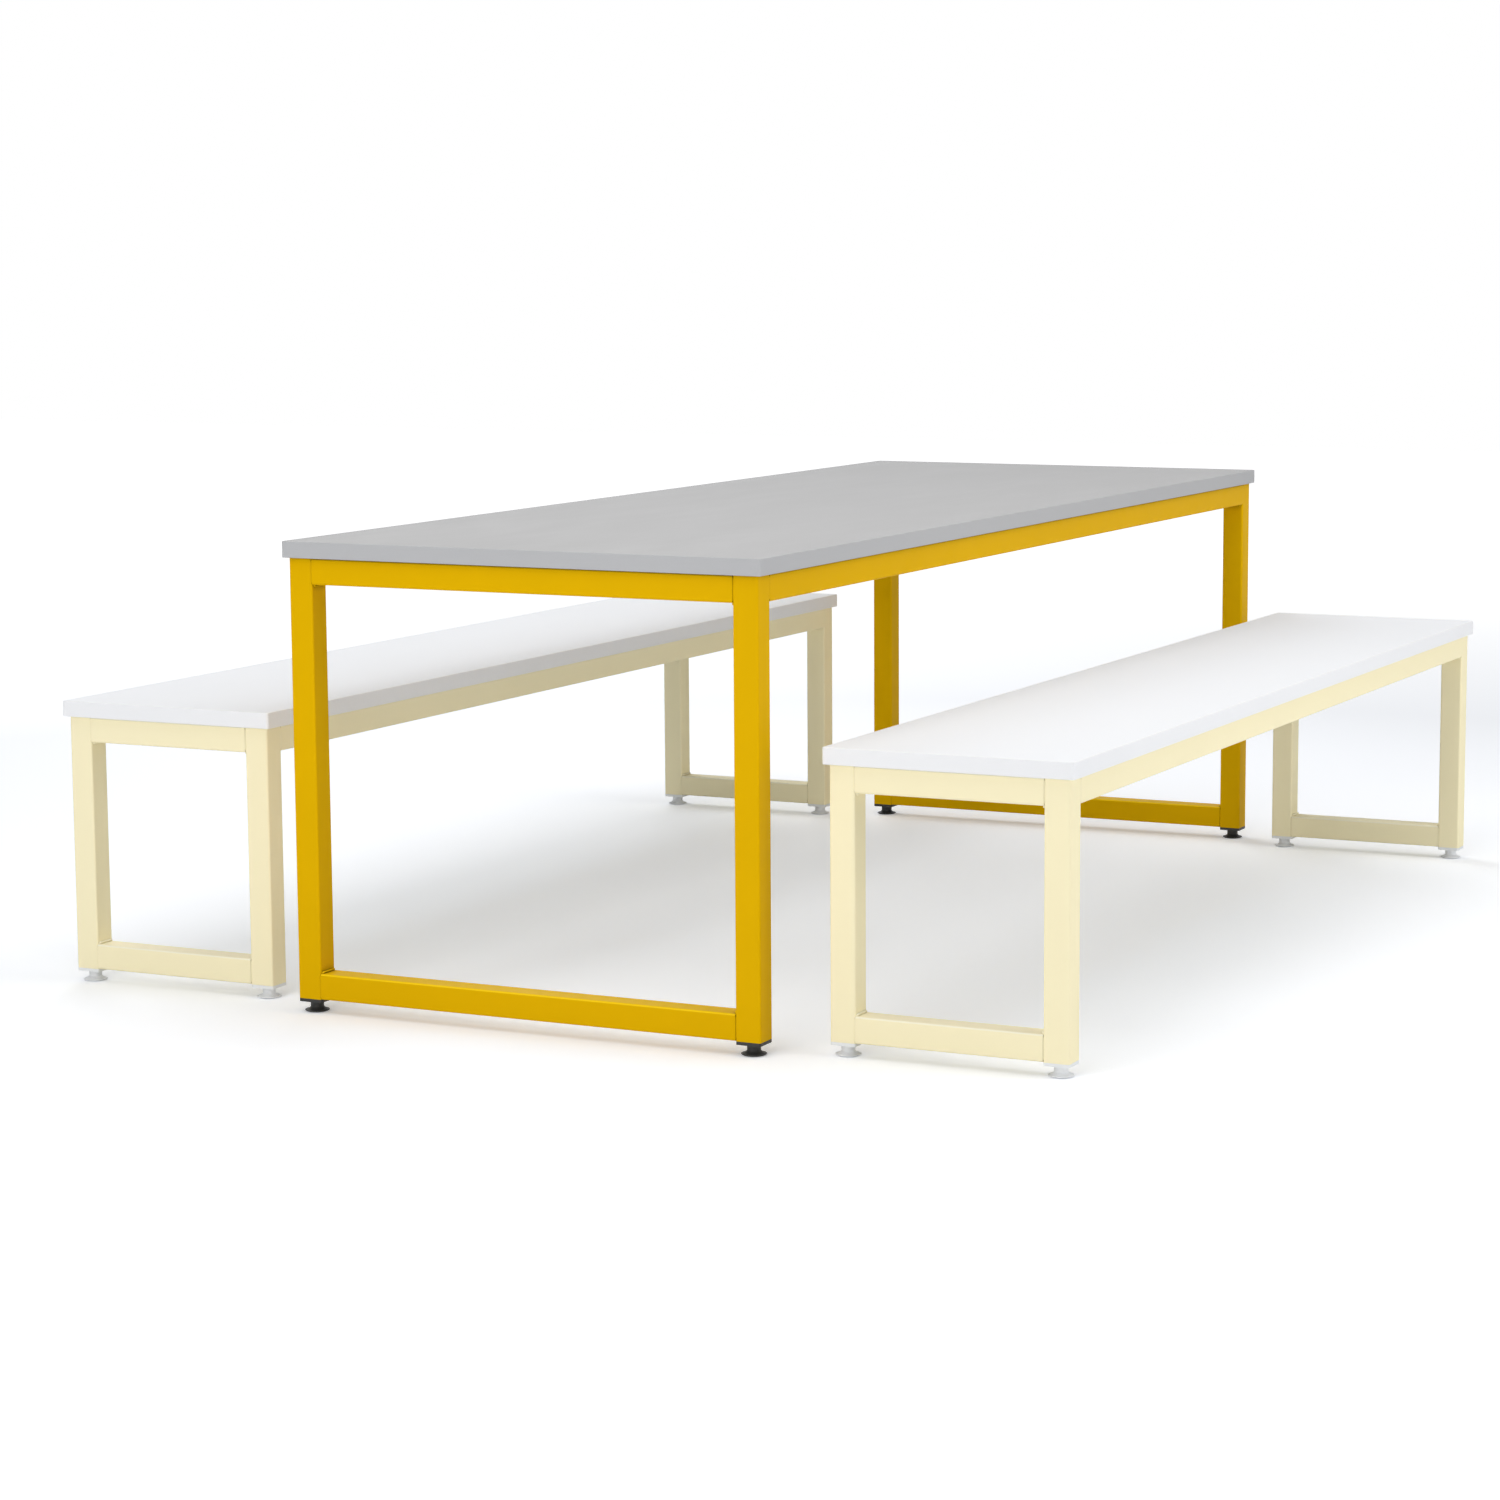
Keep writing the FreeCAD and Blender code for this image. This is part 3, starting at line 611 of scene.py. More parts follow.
foot = {
    "hubRadius": 0.0102,
    "hubHeight": 0.0075,
    "hubEase": 0.0005,        # rounding of the hub's two rims
    "pinRadius": 0.004,
    "pinLength": 0.005,
    "pinGap": 0.0005,         # below the pin, in the pad's socket
    "pinPlay": 0.00005,       # round the pin
    "padRadius": 0.0188,
    "padHeight": 0.0095,
    "soleRadius": 0.013,
    "soleRise": 0.0018,
    "rimThickness": 0.0013,
    "rimEase": 0.0004,
    "flareHeight": 0.0046,
    "neckEase": 0.0002,
    "grooves": (0.004, 0.0075, 0.011),     # radii of the grip grooves under the sole
    "grooveWidth": 0.0012,
    "grooveDepth": 0.0006,
    "segments": 72,
    "easeSteps": 4,
    "soleSteps": 8,
    "flareSteps": 16,
}
stud = {
    "radius": 0.005,
    "pitch": 0.0015,
    "threadDepth": 0.00085,
    "flankSlope": 2.6,        # more makes the groove wider
    "crestFlat": 0.15,        # more makes the crest wider
    "collar": 0.0016,         # the hub's top reaches in to this distance from the stud
    "chamfer": 0.001,
    "endEase": 0.0004,
    "runout": 0.0015,         # plain length above the hub
    "segments": 40,
    "perPitch": 8,
}


def risingRadius(across, rise):
    # the radius of an arc that starts level and rises by rise over the distance across
    return (across ** 2 + rise ** 2) / (2 * rise)


def padProfile():
    # from under the sole's middle, out over the rim and up the flare, to the floor of the socket
    hub, sole, rim = foot["hubRadius"], foot["soleRadius"], foot["padRadius"]
    ease, rise, height = foot["rimEase"], foot["soleRise"], foot["padHeight"]
    rimTop = rise + foot["rimThickness"]
    neck = rimTop + foot["flareHeight"]
    points = [(0, 0)]
    for radius in foot["grooves"]:
        half, wall = foot["grooveWidth"] / 2, foot["grooveWidth"] / 4
        points += [(radius - half, 0), (radius - wall, foot["grooveDepth"]),
                   (radius + wall, foot["grooveDepth"]), (radius + half, 0)]
    points.append((sole, 0))
    points += arcPoints((sole, 0), (rim - ease, rise), risingRadius(rim - ease - sole, rise), 1,
                        foot["soleSteps"])
    points += arcPoints((rim - ease, rise), (rim, rise + ease), ease, 1, foot["easeSteps"])
    points.append((rim, rimTop - ease))
    points += arcPoints((rim, rimTop - ease), (rim - ease, rimTop), ease, 1, foot["easeSteps"])
    flare = risingRadius(rim - ease - hub, foot["flareHeight"])
    points += arcPoints((rim - ease, rimTop), (hub, neck), flare, -1, foot["flareSteps"])
    socket = foot["pinRadius"] + foot["pinPlay"]
    floor = height - foot["pinLength"] - foot["pinGap"]
    points += [(hub, height - foot["neckEase"]), (hub - foot["neckEase"], height),
               (socket, height), (socket, floor), (0, floor)]
    return points


def threadRings(centre, bottom, top):
    # rings of the stud's thread: its crest runs round the core and up it, and fades at both ends
    segments, pitch = stud["segments"], stud["pitch"]
    rings = []
    count = ceil((top - bottom) / pitch * stud["perPitch"])
    for level in range(count + 1):
        height = bottom + (top - bottom) * level / count
        shown = min(1.0, (height - bottom) / stud["runout"], (top - height) / stud["chamfer"])
        ring = []
        for step in range(segments):
            turn = 2 * pi * step / segments
            phase = (height / pitch - step / segments) % 1.0
            slope = stud["flankSlope"] * abs(phase - 0.5) - stud["crestFlat"]
            flank = min(1.0, max(0.0, slope))      # 0 on the crest, 1 in the root
            reach = stud["radius"] - stud["threadDepth"] * (1 - (1 - flank) * shown)
            ring.append(centre + Vector((reach * cos(turn), reach * sin(turn), height)))
        rings.append(ring)
    return rings


def spindleMesh(centre, studTop):
    # pin, hub and threaded stud; material 0 is the moulded hub and 1 the plated stud
    base, ease, hub, pin = foot["padHeight"], foot["hubEase"], foot["hubRadius"], foot["pinRadius"]
    hubTop = base + foot["hubHeight"]
    pinEnd = base - foot["pinLength"]
    profile = [(0, pinEnd), (pin, pinEnd), (pin, base), (hub - ease, base)]
    profile += arcPoints((hub - ease, base), (hub, base + ease), ease, 1, foot["easeSteps"])
    profile.append((hub, hubTop - ease))
    profile += arcPoints((hub, hubTop - ease), (hub - ease, hubTop), ease, 1, foot["easeSteps"])
    profile.append((stud["radius"] + stud["collar"], hubTop))
    core = stud["radius"] - stud["threadDepth"]
    rings = turnedRings(profile, centre, stud["segments"])
    hubRings = len(rings)
    rings += turnedRings([(core, hubTop)], centre, stud["segments"])
    rings += threadRings(centre, hubTop + stud["runout"] / 2, studTop - stud["chamfer"] / 2)
    rings += turnedRings([(core - stud["endEase"], studTop), (0, studTop)], centre, stud["segments"])
    return ringMesh(rings, lambda index: int(index >= hubRings - 1))


def makeFeet(unit, plan, nylon):
    for side, alongY in sides.items():
        for end, alongX in ends.items():
            centre = Vector((alongX * plan["legX"], plan["centreY"] + alongY * plan["legY"], 0))
            rings = turnedRings(padProfile(), centre, foot["segments"])
            pad = newPiece(f"{unit}_pad_{side}_{end}", ringMesh(rings), [nylon])
            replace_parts(sharpenEdges(pad), f"{unit}_foot_pad_{side}_{end}")
            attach(pad, f"{unit}_{side}_{end}_pad")
            solid = f"{unit}_foot_spindle_{side}_{end}"
            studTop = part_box(solid)[1][2]
            mesh = spindleMesh(centre, studTop)
            spindle = newPiece(f"{unit}_spindle_{side}_{end}", mesh, [nylon, zincPlate])
            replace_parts(sharpenEdges(spindle), solid)
            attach(spindle, f"{unit}_{side}_{end}_spindle")


for unit, plan in plans.items():
    makeFeet(unit, plan, blackNylon if unit == "table" else greyNylon)
print("levelling feet made")


weldRun = tube["size"] - 2 * tube["radius"]
welds = {
    # toe is a weld's reach along each tube, crown where its middle stands along both
    "bead": {"toe": 0.0062, "crown": 0.0029, "rounding": 0.8, "endTaper": 0.002, "rippleSize": 0.0019,
             "rippleDepth": 0.00028, "wobble": 0.00035, "seed": 7},
    # back is how far a seam lies below the tubes' faces
    "seam": {"toe": tube["radius"], "crown": 0.0011, "rounding": 0.8, "endTaper": 0.002,
             "rippleSize": 0.0024, "rippleDepth": 0.00008, "wobble": 0.00012, "seed": 3, "back": 0.0003},
    "groundSeam": {"toe": tube["radius"], "crown": 0.0011, "rounding": 0.15, "endTaper": 0.0005,
                   "rippleSize": 0.0024, "rippleDepth": 0.00001, "wobble": 0.00002, "seed": 3,
                   "back": 0.00004},
}


def placed(tree, geometry, **move):
    return resultOf(tree, "GeometryNodeSetPosition", {"Geometry": geometry, **move})


def straightLine(tree, low, high):
    # a line up the Z axis
    sockets = {"Start": vectorOf(tree, Z=low), "End": vectorOf(tree, Z=high)}
    return resultOf(tree, "GeometryNodeCurvePrimitiveLine", sockets)


def roundedCurve(tree, curve, radius, count):
    sockets = {"Curve": curve, "Count": count, "Radius": radius, "Limit Radius": True}
    return resultOf(tree, "GeometryNodeFilletCurve", sockets, mode="POLY")


def sweptSolid(tree, path, section):
    sockets = {"Curve": path, "Profile Curve": section, "Fill Caps": True}
    return resultOf(tree, "GeometryNodeCurveToMesh", sockets)


def laidOut(tree, points, piece, angles):
    # the piece at each point, as real geometry
    rotation = resultOf(tree, "FunctionNodeEulerToRotation", {0: angles})
    sockets = {"Points": points, "Instance": piece, "Rotation": rotation}
    laid = resultOf(tree, "GeometryNodeInstanceOnPoints", sockets)
    return resultOf(tree, "GeometryNodeRealizeInstances", {"Geometry": laid})


def closeTree(tree, given, result, geometry):
    smooth = resultOf(tree, "GeometryNodeSetShadeSmooth", {"Geometry": geometry})
    sockets = {"Geometry": smooth, "Material": given["Material"]}
    feed(tree, result["Geometry"], resultOf(tree, "GeometryNodeSetMaterial", sockets))
    return tree


def weldSection(tree, given):
    # a four-sided section: the root, a toe along each tube, and the crown between them
    toeOne = vectorOf(tree, X=given["Toe"])
    toeTwo = vectorOf(tree, Y=given["Toe"])
    crown = vectorOf(tree, X=given["Crown"], Y=given["Crown"])
    corners = {"Point 1": (0.0, 0.0, 0.0), "Point 2": toeOne, "Point 3": crown, "Point 4": toeTwo}
    section = addNode(tree, "GeometryNodeCurvePrimitiveQuadrilateral", mode="POINTS")
    for label, corner in corners.items():
        feed(tree, section.inputs[label], corner)
    radius = times(tree, given["Crown"], given["Rounding"])
    return roundedCurve(tree, section.outputs[0], radius, count=4)


def makeWeldTree():
    # one weld laid at each point, turned by the point's own angles: its section swept along Z, rippled
    # across its face, tapered at its ends
    tree, given, result = startTree(
        "weldRun", "GeometryNodeTree",
        [("Geometry", "NodeSocketGeometry", None)]
        + floats({"Run": 0.033, "Toe": 0.004, "Crown": 0.0027, "Rounding": 0.8, "End taper": 0.002,
                  "End share": 0.12, "Ripple size": 0.0019, "Ripple depth": 0.0003, "Ripple lag": 0.8,
                  "Wobble": 0.0003, "Wobble scale": 260.0, "Merge distance": 0.00001})
        + [("Steps", "NodeSocketInt", 68), ("Seed", "NodeSocketInt", 1),
           ("Material", "NodeSocketMaterial", None)],
        [("Geometry", "NodeSocketGeometry")])
    half = times(tree, given["Run"], 0.5)
    line = straightLine(tree, times(tree, half, -1.0), half)
    path = resultOf(tree, "GeometryNodeResampleCurve", {"Curve": line, "Count": given["Steps"]})
    swept = sweptSolid(tree, path, weldSection(tree, given))
    # the section shrinks towards both ends
    at = partsOf(tree, resultOf(tree, "GeometryNodeInputPosition"))
    left = maths(tree, "SUBTRACT", half, maths(tree, "ABSOLUTE", at["Z"]))
    share = clamped(tree, maths(tree, "DIVIDE", left, given["End taper"]))
    size = maths(tree, "POWER", mapped(tree, share, 0.0, 1.0, given["End share"], 1.0), 0.5)
    # crescent ripples: the phase lags away from the middle of the face
    off = maths(tree, "DIVIDE", maths(tree, "SUBTRACT", at["X"], at["Y"]), given["Toe"])
    lag = times(tree, times(tree, off, off), given["Ripple lag"])
    phase = maths(tree, "ADD", maths(tree, "DIVIDE", at["Z"], given["Ripple size"]), lag)
    swing = maths(tree, "SINE", times(tree, phase, 2 * pi))
    wave = times(tree, swing, given["Ripple depth"])
    onFace = mapped(tree, maths(tree, "ADD", at["X"], at["Y"]), 0.0, given["Toe"])
    lift = times(tree, wave, onFace)
    rippled = vectorOf(tree, X=maths(tree, "MULTIPLY_ADD", at["X"], size, lift),
                       Y=maths(tree, "MULTIPLY_ADD", at["Y"], size, lift), Z=at["Z"])
    shaped = placed(tree, swept, Position=rippled)
    sockets = {"Geometry": shaped, "Distance": given["Merge distance"]}
    merged = resultOf(tree, "GeometryNodeMergeByDistance", sockets)
    turn = resultOf(tree, "GeometryNodeInputNamedAttribute", {"Name": "turn"}, data_type="FLOAT_VECTOR")
    real = laidOut(tree, given["Geometry"], merged, turn)
    # no two welds alike
    shake = addNode(tree, "ShaderNodeTexNoise",
                    {"W": given["Seed"], "Scale": given["Wobble scale"], "Detail": 2.0},
                    noise_dimensions="4D").outputs["Color"]
    centred = vectorMaths(tree, "SUBTRACT", {0: shake, 1: (0.5, 0.5, 0.5)})
    offset = vectorMaths(tree, "SCALE", {0: centred, "Scale": given["Wobble"]})
    return closeTree(tree, given, result, placed(tree, real, Offset=offset))


def turnTo(first, second):
    # the angles that take X to first and Y to second
    third = Vector(first).cross(Vector(second))
    return Matrix((first, second, third)).transposed().to_euler()


def beadPlaces(plan):
    # the fillet beads, each at its corner: along the rail, then along the leg
    half = tube["size"] / 2
    underRail, overFootRail = plan["legTop"] - tube["size"], plan["legBottom"] + tube["size"]
    places = []
    for x in (-plan["legX"], plan["legX"]):
        for side in sides.values():
            y = plan["centreY"] + side * (plan["legY"] - half)
            places.append(((x, y, underRail), turnTo((0, -side, 0), (0, 0, -1))))
            places.append(((x, y, overFootRail), turnTo((0, -side, 0), (0, 0, 1))))
    for side in sides.values():
        for end in ends.values():
            corner = (end * (plan["legX"] - half), plan["centreY"] + side * plan["legY"], underRail)
            places.append((corner, turnTo((-end, 0, 0), (0, 0, -1))))
    return places


def seamPlaces(plan, kind):
    # the seams beside the legs' round edges: into the leg's face, then down into the gap
    half = tube["size"] / 2
    footRail, topRail = plan["legBottom"] + half, plan["legTop"] - half
    places = []
    for end in ends.values():
        for side in sides.values():
            if kind == "groundSeam":     # beside the long rails
                spots = [(topRail, -1, 1, (end, 0, 0), (0, -side, 0))]
            else:                        # beside the end rails and the foot rails
                spots = [(footRail, 1, -1, (0, side, 0), (-end, 0, 0)),
                         (footRail, -1, -1, (0, side, 0), (end, 0, 0)),
                         (topRail, 1, -1, (0, side, 0), (-end, 0, 0))]
            for z, reachX, reachY, into, down in spots:
                x = end * (plan["legX"] + reachX * half)
                y = plan["centreY"] + side * (plan["legY"] + reachY * half)
                sunk = Vector((x, y, z)) + Vector(down) * welds[kind]["back"]
                places.append((sunk, turnTo(into, down)))
    return places


def pointCloud(name, places):
    # bare points with their angles
    mesh = bpy.data.meshes.new(name)
    mesh.from_pydata([tuple(point) for point, angles in places], [], [])
    turns = mesh.attributes.new("turn", "FLOAT_VECTOR", "POINT")
    for index, (point, angles) in enumerate(places):
        turns.data[index].vector = tuple(angles)
    cloud = bpy.data.objects.new(name, mesh)
    bpy.context.scene.collection.objects.link(cloud)
    return cloud


def grown(cloud, tree, values):
    # the plain mesh that a geometry tree makes of a cloud of points
    modifier = cloud.modifiers.new("grow", "NODES")
    modifier.node_group = tree
    for item in tree.interface.items_tree:
        if item.item_type == "SOCKET" and item.in_out == "INPUT" and item.name in values:
            modifier[item.identifier] = values[item.name]
    depsgraph = bpy.context.evaluated_depsgraph_get()
    mesh = bpy.data.meshes.new_from_object(cloud.evaluated_get(depsgraph), depsgraph=depsgraph)
    mesh.polygons.foreach_set("material_index", [0] * len(mesh.polygons))
    cloud.modifiers.remove(modifier)
    points = cloud.data
    bpy.data.objects.remove(cloud)
    bpy.data.meshes.remove(points)
    return mesh


def joinedMesh(name, meshes):
    shape = bmesh.new()
    for mesh in meshes:
        shape.from_mesh(mesh)
    joined = bpy.data.meshes.new(name)
    shape.to_mesh(joined)
    shape.free()
    return joined


weldTree = makeWeldTree()


def weldMesh(unit, kind, places, coat):
    values = {**labelled(welds[kind]), "Run": weldRun, "Material": coat}
    return grown(pointCloud(f"{unit}_{kind}_points", places), weldTree, values)


def makeWelds(unit, plan, coat):
    meshes = [weldMesh(unit, "bead", beadPlaces(plan), coat)]
    meshes += [weldMesh(unit, kind, seamPlaces(plan, kind), coat) for kind in ("seam", "groundSeam")]
    piece = newPiece(f"{unit}_welds", joinedMesh(f"{unit}_welds", meshes), [coat])
    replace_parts(piece, f"{unit}_weld_beads")
    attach(piece, units[unit]["body"])


for unit, plan in plans.items():
    makeWelds(unit, plan, goldenCoat if unit == "table" else creamCoat)
print("welds made")


boardScrew = {
    "headRadius": 0.005,
    "headHeight": 0.003,
    "headFlatness": 0.35,     # 1 is a half ball, less is flatter
    "recessRadius": 0.0024,
    "recessDepth": 0.0019,
    "recessStart": -1.2,      # in heights of the head, from the rail
    "lobeDepth": 0.68,        # in radii of the recess, as the next one
    "lobeRounding": 0.24,
    "coreRadius": 0.0016,
    "crestRadius": 0.0024,
    "crestStart": 0.55,       # 0 to 1, less makes the thread wider
    "pitch": 0.0021,
    "threadStart": 1.5,       # in pitches from the head
    "ringsATurn": 7.0,
    "tip": 0.004,
    "tipWidth": 0.02,         # in radii of the core
}
screwLimit = 38               # degrees, past which an edge of a screw stays sharp


def screwHead(tree, given, at):
    # a unit ball whose lower half becomes the pan and whose upper half lies flat under the rail
    sockets = {"Segments": 36, "Rings": 20, "Radius": 1.0}
    ball = resultOf(tree, "GeometryNodeMeshUVSphere", sockets)
    squares = [times(tree, at[axis], at[axis]) for axis in "XY"]
    spread = maths(tree, "SQRT", maths(tree, "ADD", *squares))
    flatter = maths(tree, "POWER", spread, given["Head flatness"])
    nonZero = maths(tree, "MAXIMUM", spread, 0.00001)
    wider = maths(tree, "DIVIDE", times(tree, flatter, given["Head radius"]), nonZero)
    depth = times(tree, maths(tree, "MINIMUM", at["Z"], 0.0), given["Head height"])
    across = {axis: times(tree, at[axis], wider) for axis in "XY"}
    return placed(tree, ball, Position=vectorOf(tree, **across, Z=depth))


def screwRecess(tree, given):
    # a six-lobed prism that reaches from below the head to the recess's floor
    low = times(tree, given["Head height"], given["Recess start"])
    high = maths(tree, "SUBTRACT", given["Recess depth"], given["Head height"])
    axle = straightLine(tree, low, high)
    inner = times(tree, given["Recess radius"], given["Lobe depth"])
    sockets = {"Points": 6, "Inner Radius": inner, "Outer Radius": given["Recess radius"]}
    star = resultOf(tree, "GeometryNodeCurveStar", sockets)
    rounding = times(tree, given["Recess radius"], given["Lobe rounding"])
    return sweptSolid(tree, axle, roundedCurve(tree, star, rounding, count=3))


def screwShank(tree, given, at):
    # a cylinder whose wall follows the thread, drawn in to a point at the tip
    turns = maths(tree, "DIVIDE", given["Length"], given["Pitch"])
    sockets = {"Vertices": 20, "Side Segments": times(tree, turns, given["Rings a turn"]),
               "Fill Segments": 1, "Radius": 1.0, "Depth": given["Length"]}
    blank = resultOf(tree, "GeometryNodeMeshCylinder", sockets)
    rise = maths(tree, "ADD", at["Z"], times(tree, given["Length"], 0.5))
    angle = maths(tree, "DIVIDE", maths(tree, "ARCTAN2", at["Y"], at["X"]), 2 * pi)
    climb = maths(tree, "DIVIDE", rise, given["Pitch"])
    phase = maths(tree, "FRACT", maths(tree, "SUBTRACT", climb, angle))
    ridge = maths(tree, "ABSOLUTE", maths(tree, "MULTIPLY_ADD", phase, 2.0, -1.0))
    crest = mapped(tree, ridge, given["Crest start"], 1.0)
    full = times(tree, given["Pitch"], given["Thread start"])
    begun = mapped(tree, rise, given["Pitch"], full)
    pointed = mapped(tree, maths(tree, "SUBTRACT", given["Length"], rise), 0.0, given["Tip"])
    reach = maths(tree, "SUBTRACT", given["Crest radius"], given["Core radius"])
    wall = maths(tree, "MULTIPLY_ADD", times(tree, crest, begun), reach, given["Core radius"])
    radius = times(tree, wall, maths(tree, "MAXIMUM", pointed, given["Tip width"]))
    across = {axis: times(tree, at[axis], radius) for axis in "XY"}
    return placed(tree, blank, Position=vectorOf(tree, **across, Z=rise))


def makeScrewTree():
    # a wood screw at each point, point upwards: a pan head with a six-lobed recess, and a coarse thread
    tree, given, result = startTree(
        "boardScrew", "GeometryNodeTree",
        [("Geometry", "NodeSocketGeometry", None)]
        + floats({"Length": 0.02, **labelled(boardScrew)})
        + [("Seed", "NodeSocketInt", 5), ("Material", "NodeSocketMaterial", None)],
        [("Geometry", "NodeSocketGeometry")])
    at = partsOf(tree, resultOf(tree, "GeometryNodeInputPosition"))
    sockets = {0: screwHead(tree, given, at), 1: screwRecess(tree, given)}
    head = resultOf(tree, "GeometryNodeMeshBoolean", sockets, operation="DIFFERENCE")
    whole = addNode(tree, "GeometryNodeJoinGeometry")
    for part in (head, screwShank(tree, given, at)):
        feed(tree, whole.inputs[0], part)
    # no two recesses stand at the same angle
    sockets = {0: (0.0, 0.0, 0.0), 1: (0.0, 0.0, 2 * pi), "Seed": given["Seed"]}
    spin = resultOf(tree, "FunctionNodeRandomValue", sockets, data_type="FLOAT_VECTOR")
    return closeTree(tree, given, result, laidOut(tree, given["Geometry"], whole.outputs[0], spin))


def islandBoxes(node):
    # the lowest and highest corners of each separate solid of a CAD node
    shape = bmesh.new()
    shape.from_mesh(cadNodes[node].data)
    bmesh.ops.remove_doubles(shape, verts=shape.verts, dist=1e-6)
    waiting = set(shape.verts)
    boxes = []
    while waiting:
        island, edge = set(), [waiting.pop()]
        while edge:
            point = edge.pop()
            island.add(point)
            beside = [link.other_vert(point) for link in point.link_edges]
            fresh = [other for other in beside if other in waiting]
            waiting.difference_update(fresh)
            edge += fresh
        places = [point.co for point in island]
        boxes.append([Vector(pick(place[axis] for place in places) for axis in range(3))
                      for pick in (min, max)])
    shape.free()
    return sorted(boxes, key=lambda box: tuple(box[0]))


screwTree = makeScrewTree()


def makeScrews(unit):
    node = f"{unit}_{units[unit]['board']}_screws"
    places, length = [], 0.0
    for low, high in islandBoxes(node):
        middle = (low + high) / 2
        places.append(((middle.x, middle.y, low.z + boardScrew["headHeight"]), (0, 0, 0)))
        length = high.z - low.z - boardScrew["headHeight"]
    values = {"Length": length, "Material": zincPlate}
    mesh = grown(pointCloud(f"{unit}_screw_points", places), screwTree, values)
    screws = newPiece(f"{unit}_screws", mesh, [zincPlate])
    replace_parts(sharpenEdges(screws, screwLimit), node)
    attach(screws, units[unit]["body"])
    return len(places)


screwCounts = [makeScrews(unit) for unit in units]
print("board screws made,", screwCounts)


stage = {
    "floorReach": 14.0,
    "floorColour": "F2F5FB",
    "lift": 0.26,             # what the floor shows of its own white, so that it meets the backdrop
    "fadeFrom": 3.0,
    "fadeTo": 7.0,
    "ambient": 0.094,
}
warm, cool = (1.0, 0.99, 0.975), (0.985, 0.995, 1.0)
lampAim = (0.0, 0.0, 0.4)
panel = {"reach": 5.0, "size": (3.0, 3.0)}
lamps = {
    # degrees round from +X and up, metres away from the point they all aim at
    "overhead": {"turn": 0, "rise": 88.5, "reach": 3.8, "size": (3.0, 2.2), "watts": 28.0, "tint": warm},
    "highEnd": {**panel, "turn": 180, "rise": 55, "watts": 77.0, "tint": warm},
    "highFront": {**panel, "turn": 270, "rise": 55, "watts": 67.0, "tint": warm},
    "lowEnd": {**panel, "turn": 180, "rise": 10, "watts": 80.0, "tint": cool},
    "lowFront": {**panel, "turn": 270, "rise": 10, "watts": 85.0, "tint": cool},
    "behind": {**panel, "turn": 45, "rise": 40, "watts": 90.0, "tint": cool},
}
view = {
    "place": (-5.66759, -2.66354, 1.16295),
    "azimuth": -64.8597,      # degrees; 0 looks along +Y
    "elevation": 7.7512,
    "roll": -0.1922,
    "lens": 87.50,
    "sensor": 36.0,
    "shift": (-0.05553, -0.00875),
    "farEnd": 100.0,
}


def unseenRays(tree):
    # 1 where the backdrop's white is meant: seen straight, mirrored or through glass
    path = addNode(tree, "ShaderNodeLightPath").outputs
    seen = maths(tree, "MAXIMUM", path["Is Camera Ray"], path["Is Glossy Ray"])
    return maths(tree, "MAXIMUM", seen, path["Is Transmission Ray"])


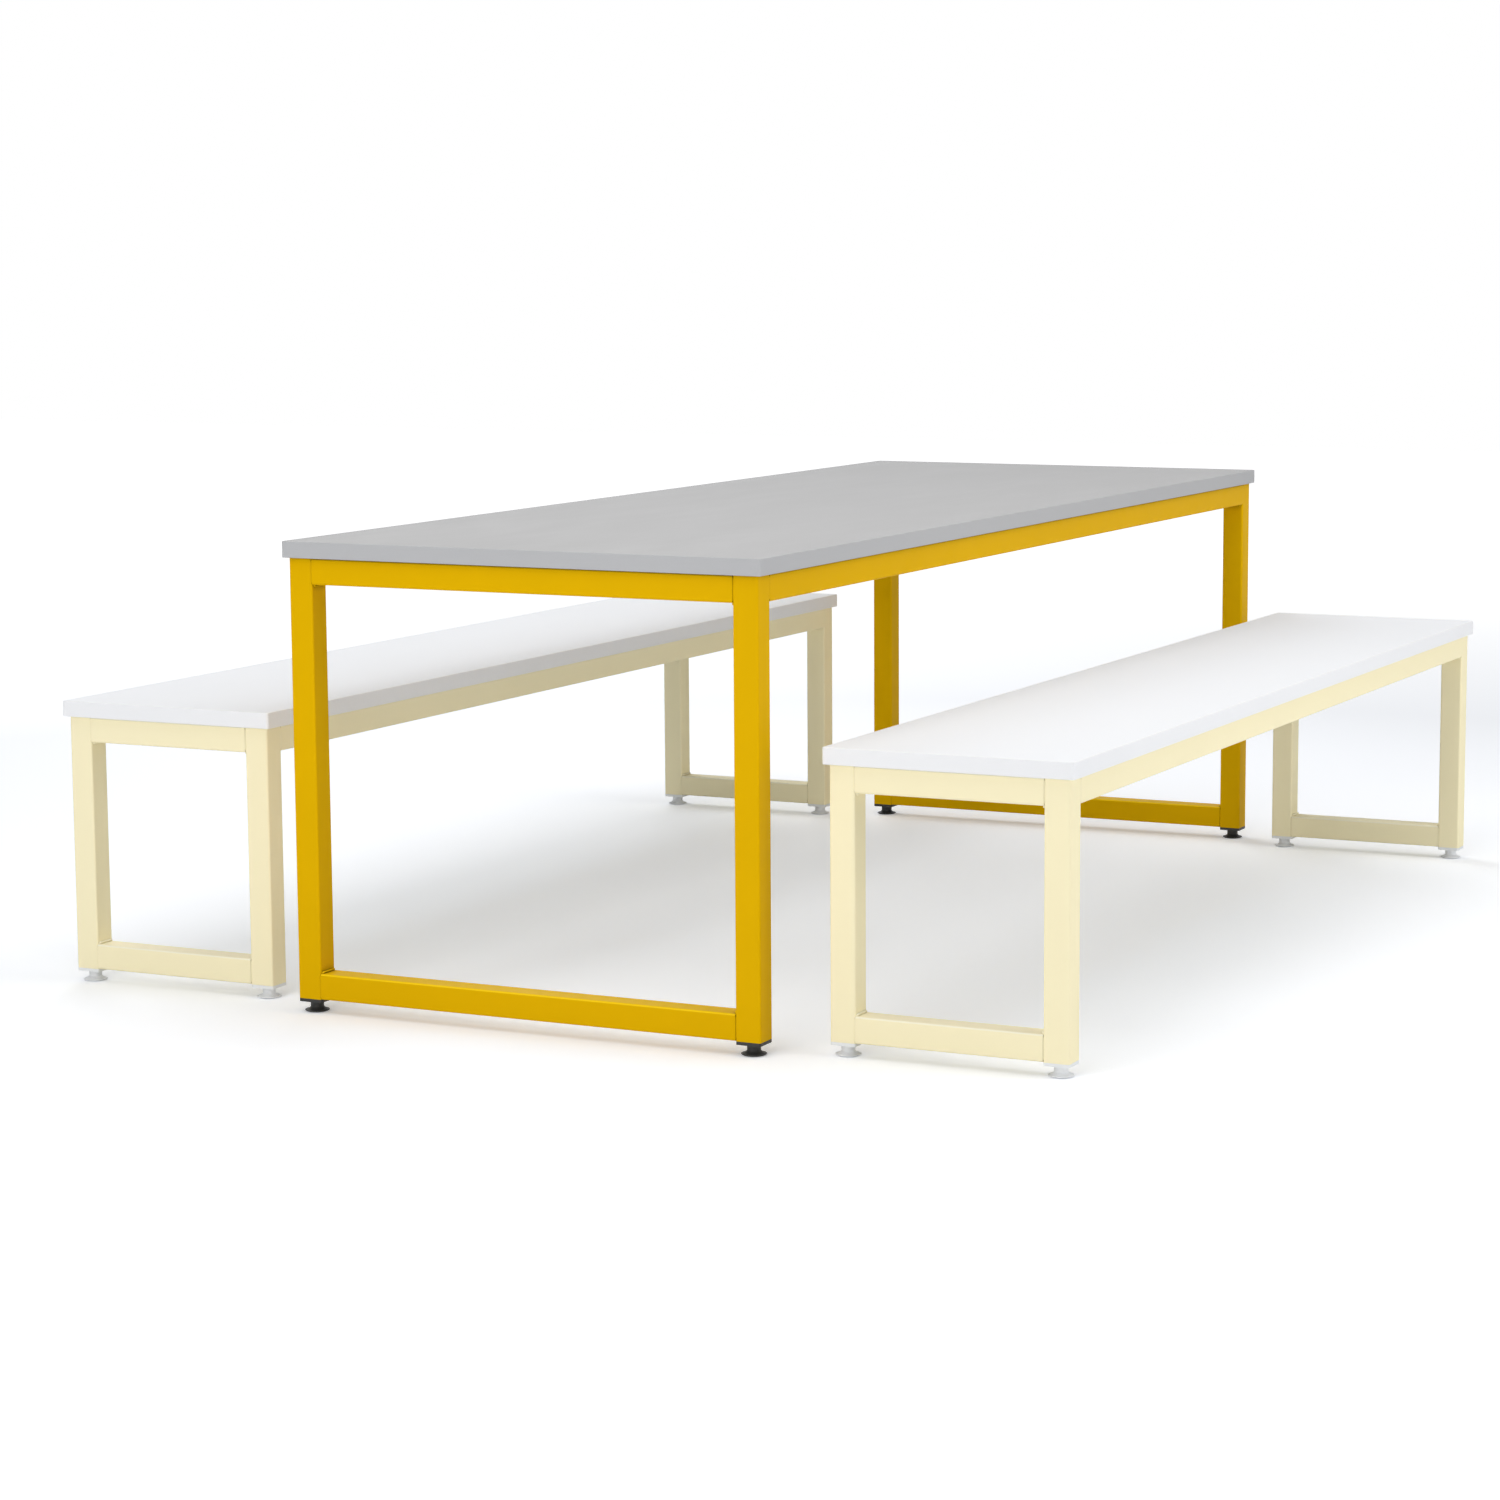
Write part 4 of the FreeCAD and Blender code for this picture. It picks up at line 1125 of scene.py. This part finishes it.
def makeFloor():
    finish = bpy.data.materials.new("floorSheet")
    finish.use_nodes = True
    tree = finish.node_tree
    tree.nodes.clear()
    matt = resultOf(tree, "ShaderNodeBsdfDiffuse", {"Color": srgb(stage["floorColour"])})
    distance = vectorMaths(tree, "LENGTH", {0: objectPlace(tree)}, "Value")
    far = mapped(tree, distance, stage["fadeFrom"], stage["fadeTo"])
    lift = mapped(tree, far, 0.0, 1.0, stage["lift"], 1.0)
    strength = times(tree, lift, unseenRays(tree))
    glow = resultOf(tree, "ShaderNodeEmission", {"Strength": strength})
    both = resultOf(tree, "ShaderNodeAddShader", {0: matt, 1: glow})
    addNode(tree, "ShaderNodeOutputMaterial", {"Surface": both})
    reach = stage["floorReach"]
    corners = [(-reach, -reach, 0), (reach, -reach, 0), (reach, reach, 0), (-reach, reach, 0)]
    mesh = bpy.data.meshes.new("floor")
    mesh.from_pydata(corners, [], [(0, 1, 2, 3)])
    newPiece("floor", mesh, [finish])


def makeWorld():
    world = bpy.data.worlds.new("paleRoom")
    bpy.context.scene.world = world
    world.use_nodes = True
    tree = world.node_tree
    tree.nodes.clear()
    ambient, backdrop = [
        resultOf(tree, "ShaderNodeBackground", {"Strength": strength, "Color": (1, 1, 1, 1)})
        for strength in (stage["ambient"], 1.0)]
    both = resultOf(tree, "ShaderNodeMixShader", {0: unseenRays(tree), 1: ambient, 2: backdrop})
    addNode(tree, "ShaderNodeOutputWorld", {"Surface": both})


def addLamp(name, look):
    lamp = bpy.data.lights.new(name, "AREA")
    lamp.shape = "RECTANGLE"
    lamp.size, lamp.size_y = look["size"]
    lamp.energy = look["watts"]
    lamp.color = look["tint"]
    turn, rise = radians(look["turn"]), radians(look["rise"])
    away = Vector((cos(turn) * cos(rise), sin(turn) * cos(rise), sin(rise)))
    holder = bpy.data.objects.new(name, lamp)
    holder.location = Vector(lampAim) + away * look["reach"]
    holder.rotation_euler = (-away).to_track_quat("-Z", "Y").to_euler()
    holder.visible_camera = False
    bpy.context.scene.collection.objects.link(holder)


def placeCamera():
    turn, rise = radians(view["azimuth"]), radians(view["elevation"])
    back = Vector((sin(turn) * cos(rise), -cos(turn) * cos(rise), sin(rise)))
    level = back.cross(Vector((0, 0, -1))).normalized()
    right = Matrix.Rotation(radians(view["roll"]), 3, back) @ level
    up = back.cross(right)
    data = bpy.data.cameras.new("camera")
    data.lens, data.sensor_width = view["lens"], view["sensor"]
    data.shift_x, data.shift_y = view["shift"]
    data.clip_end = view["farEnd"]
    camera = bpy.data.objects.new("camera", data)
    camera.matrix_world = Matrix.Translation(view["place"]) @ Matrix((right, up, back)).transposed().to_4x4()
    bpy.context.scene.collection.objects.link(camera)
    bpy.context.scene.camera = camera


makeFloor()
makeWorld()
for name, look in lamps.items():
    addLamp(name, look)
placeCamera()
bpy.context.scene.view_settings.view_transform = "Standard"
print("stage, lamps and camera set")
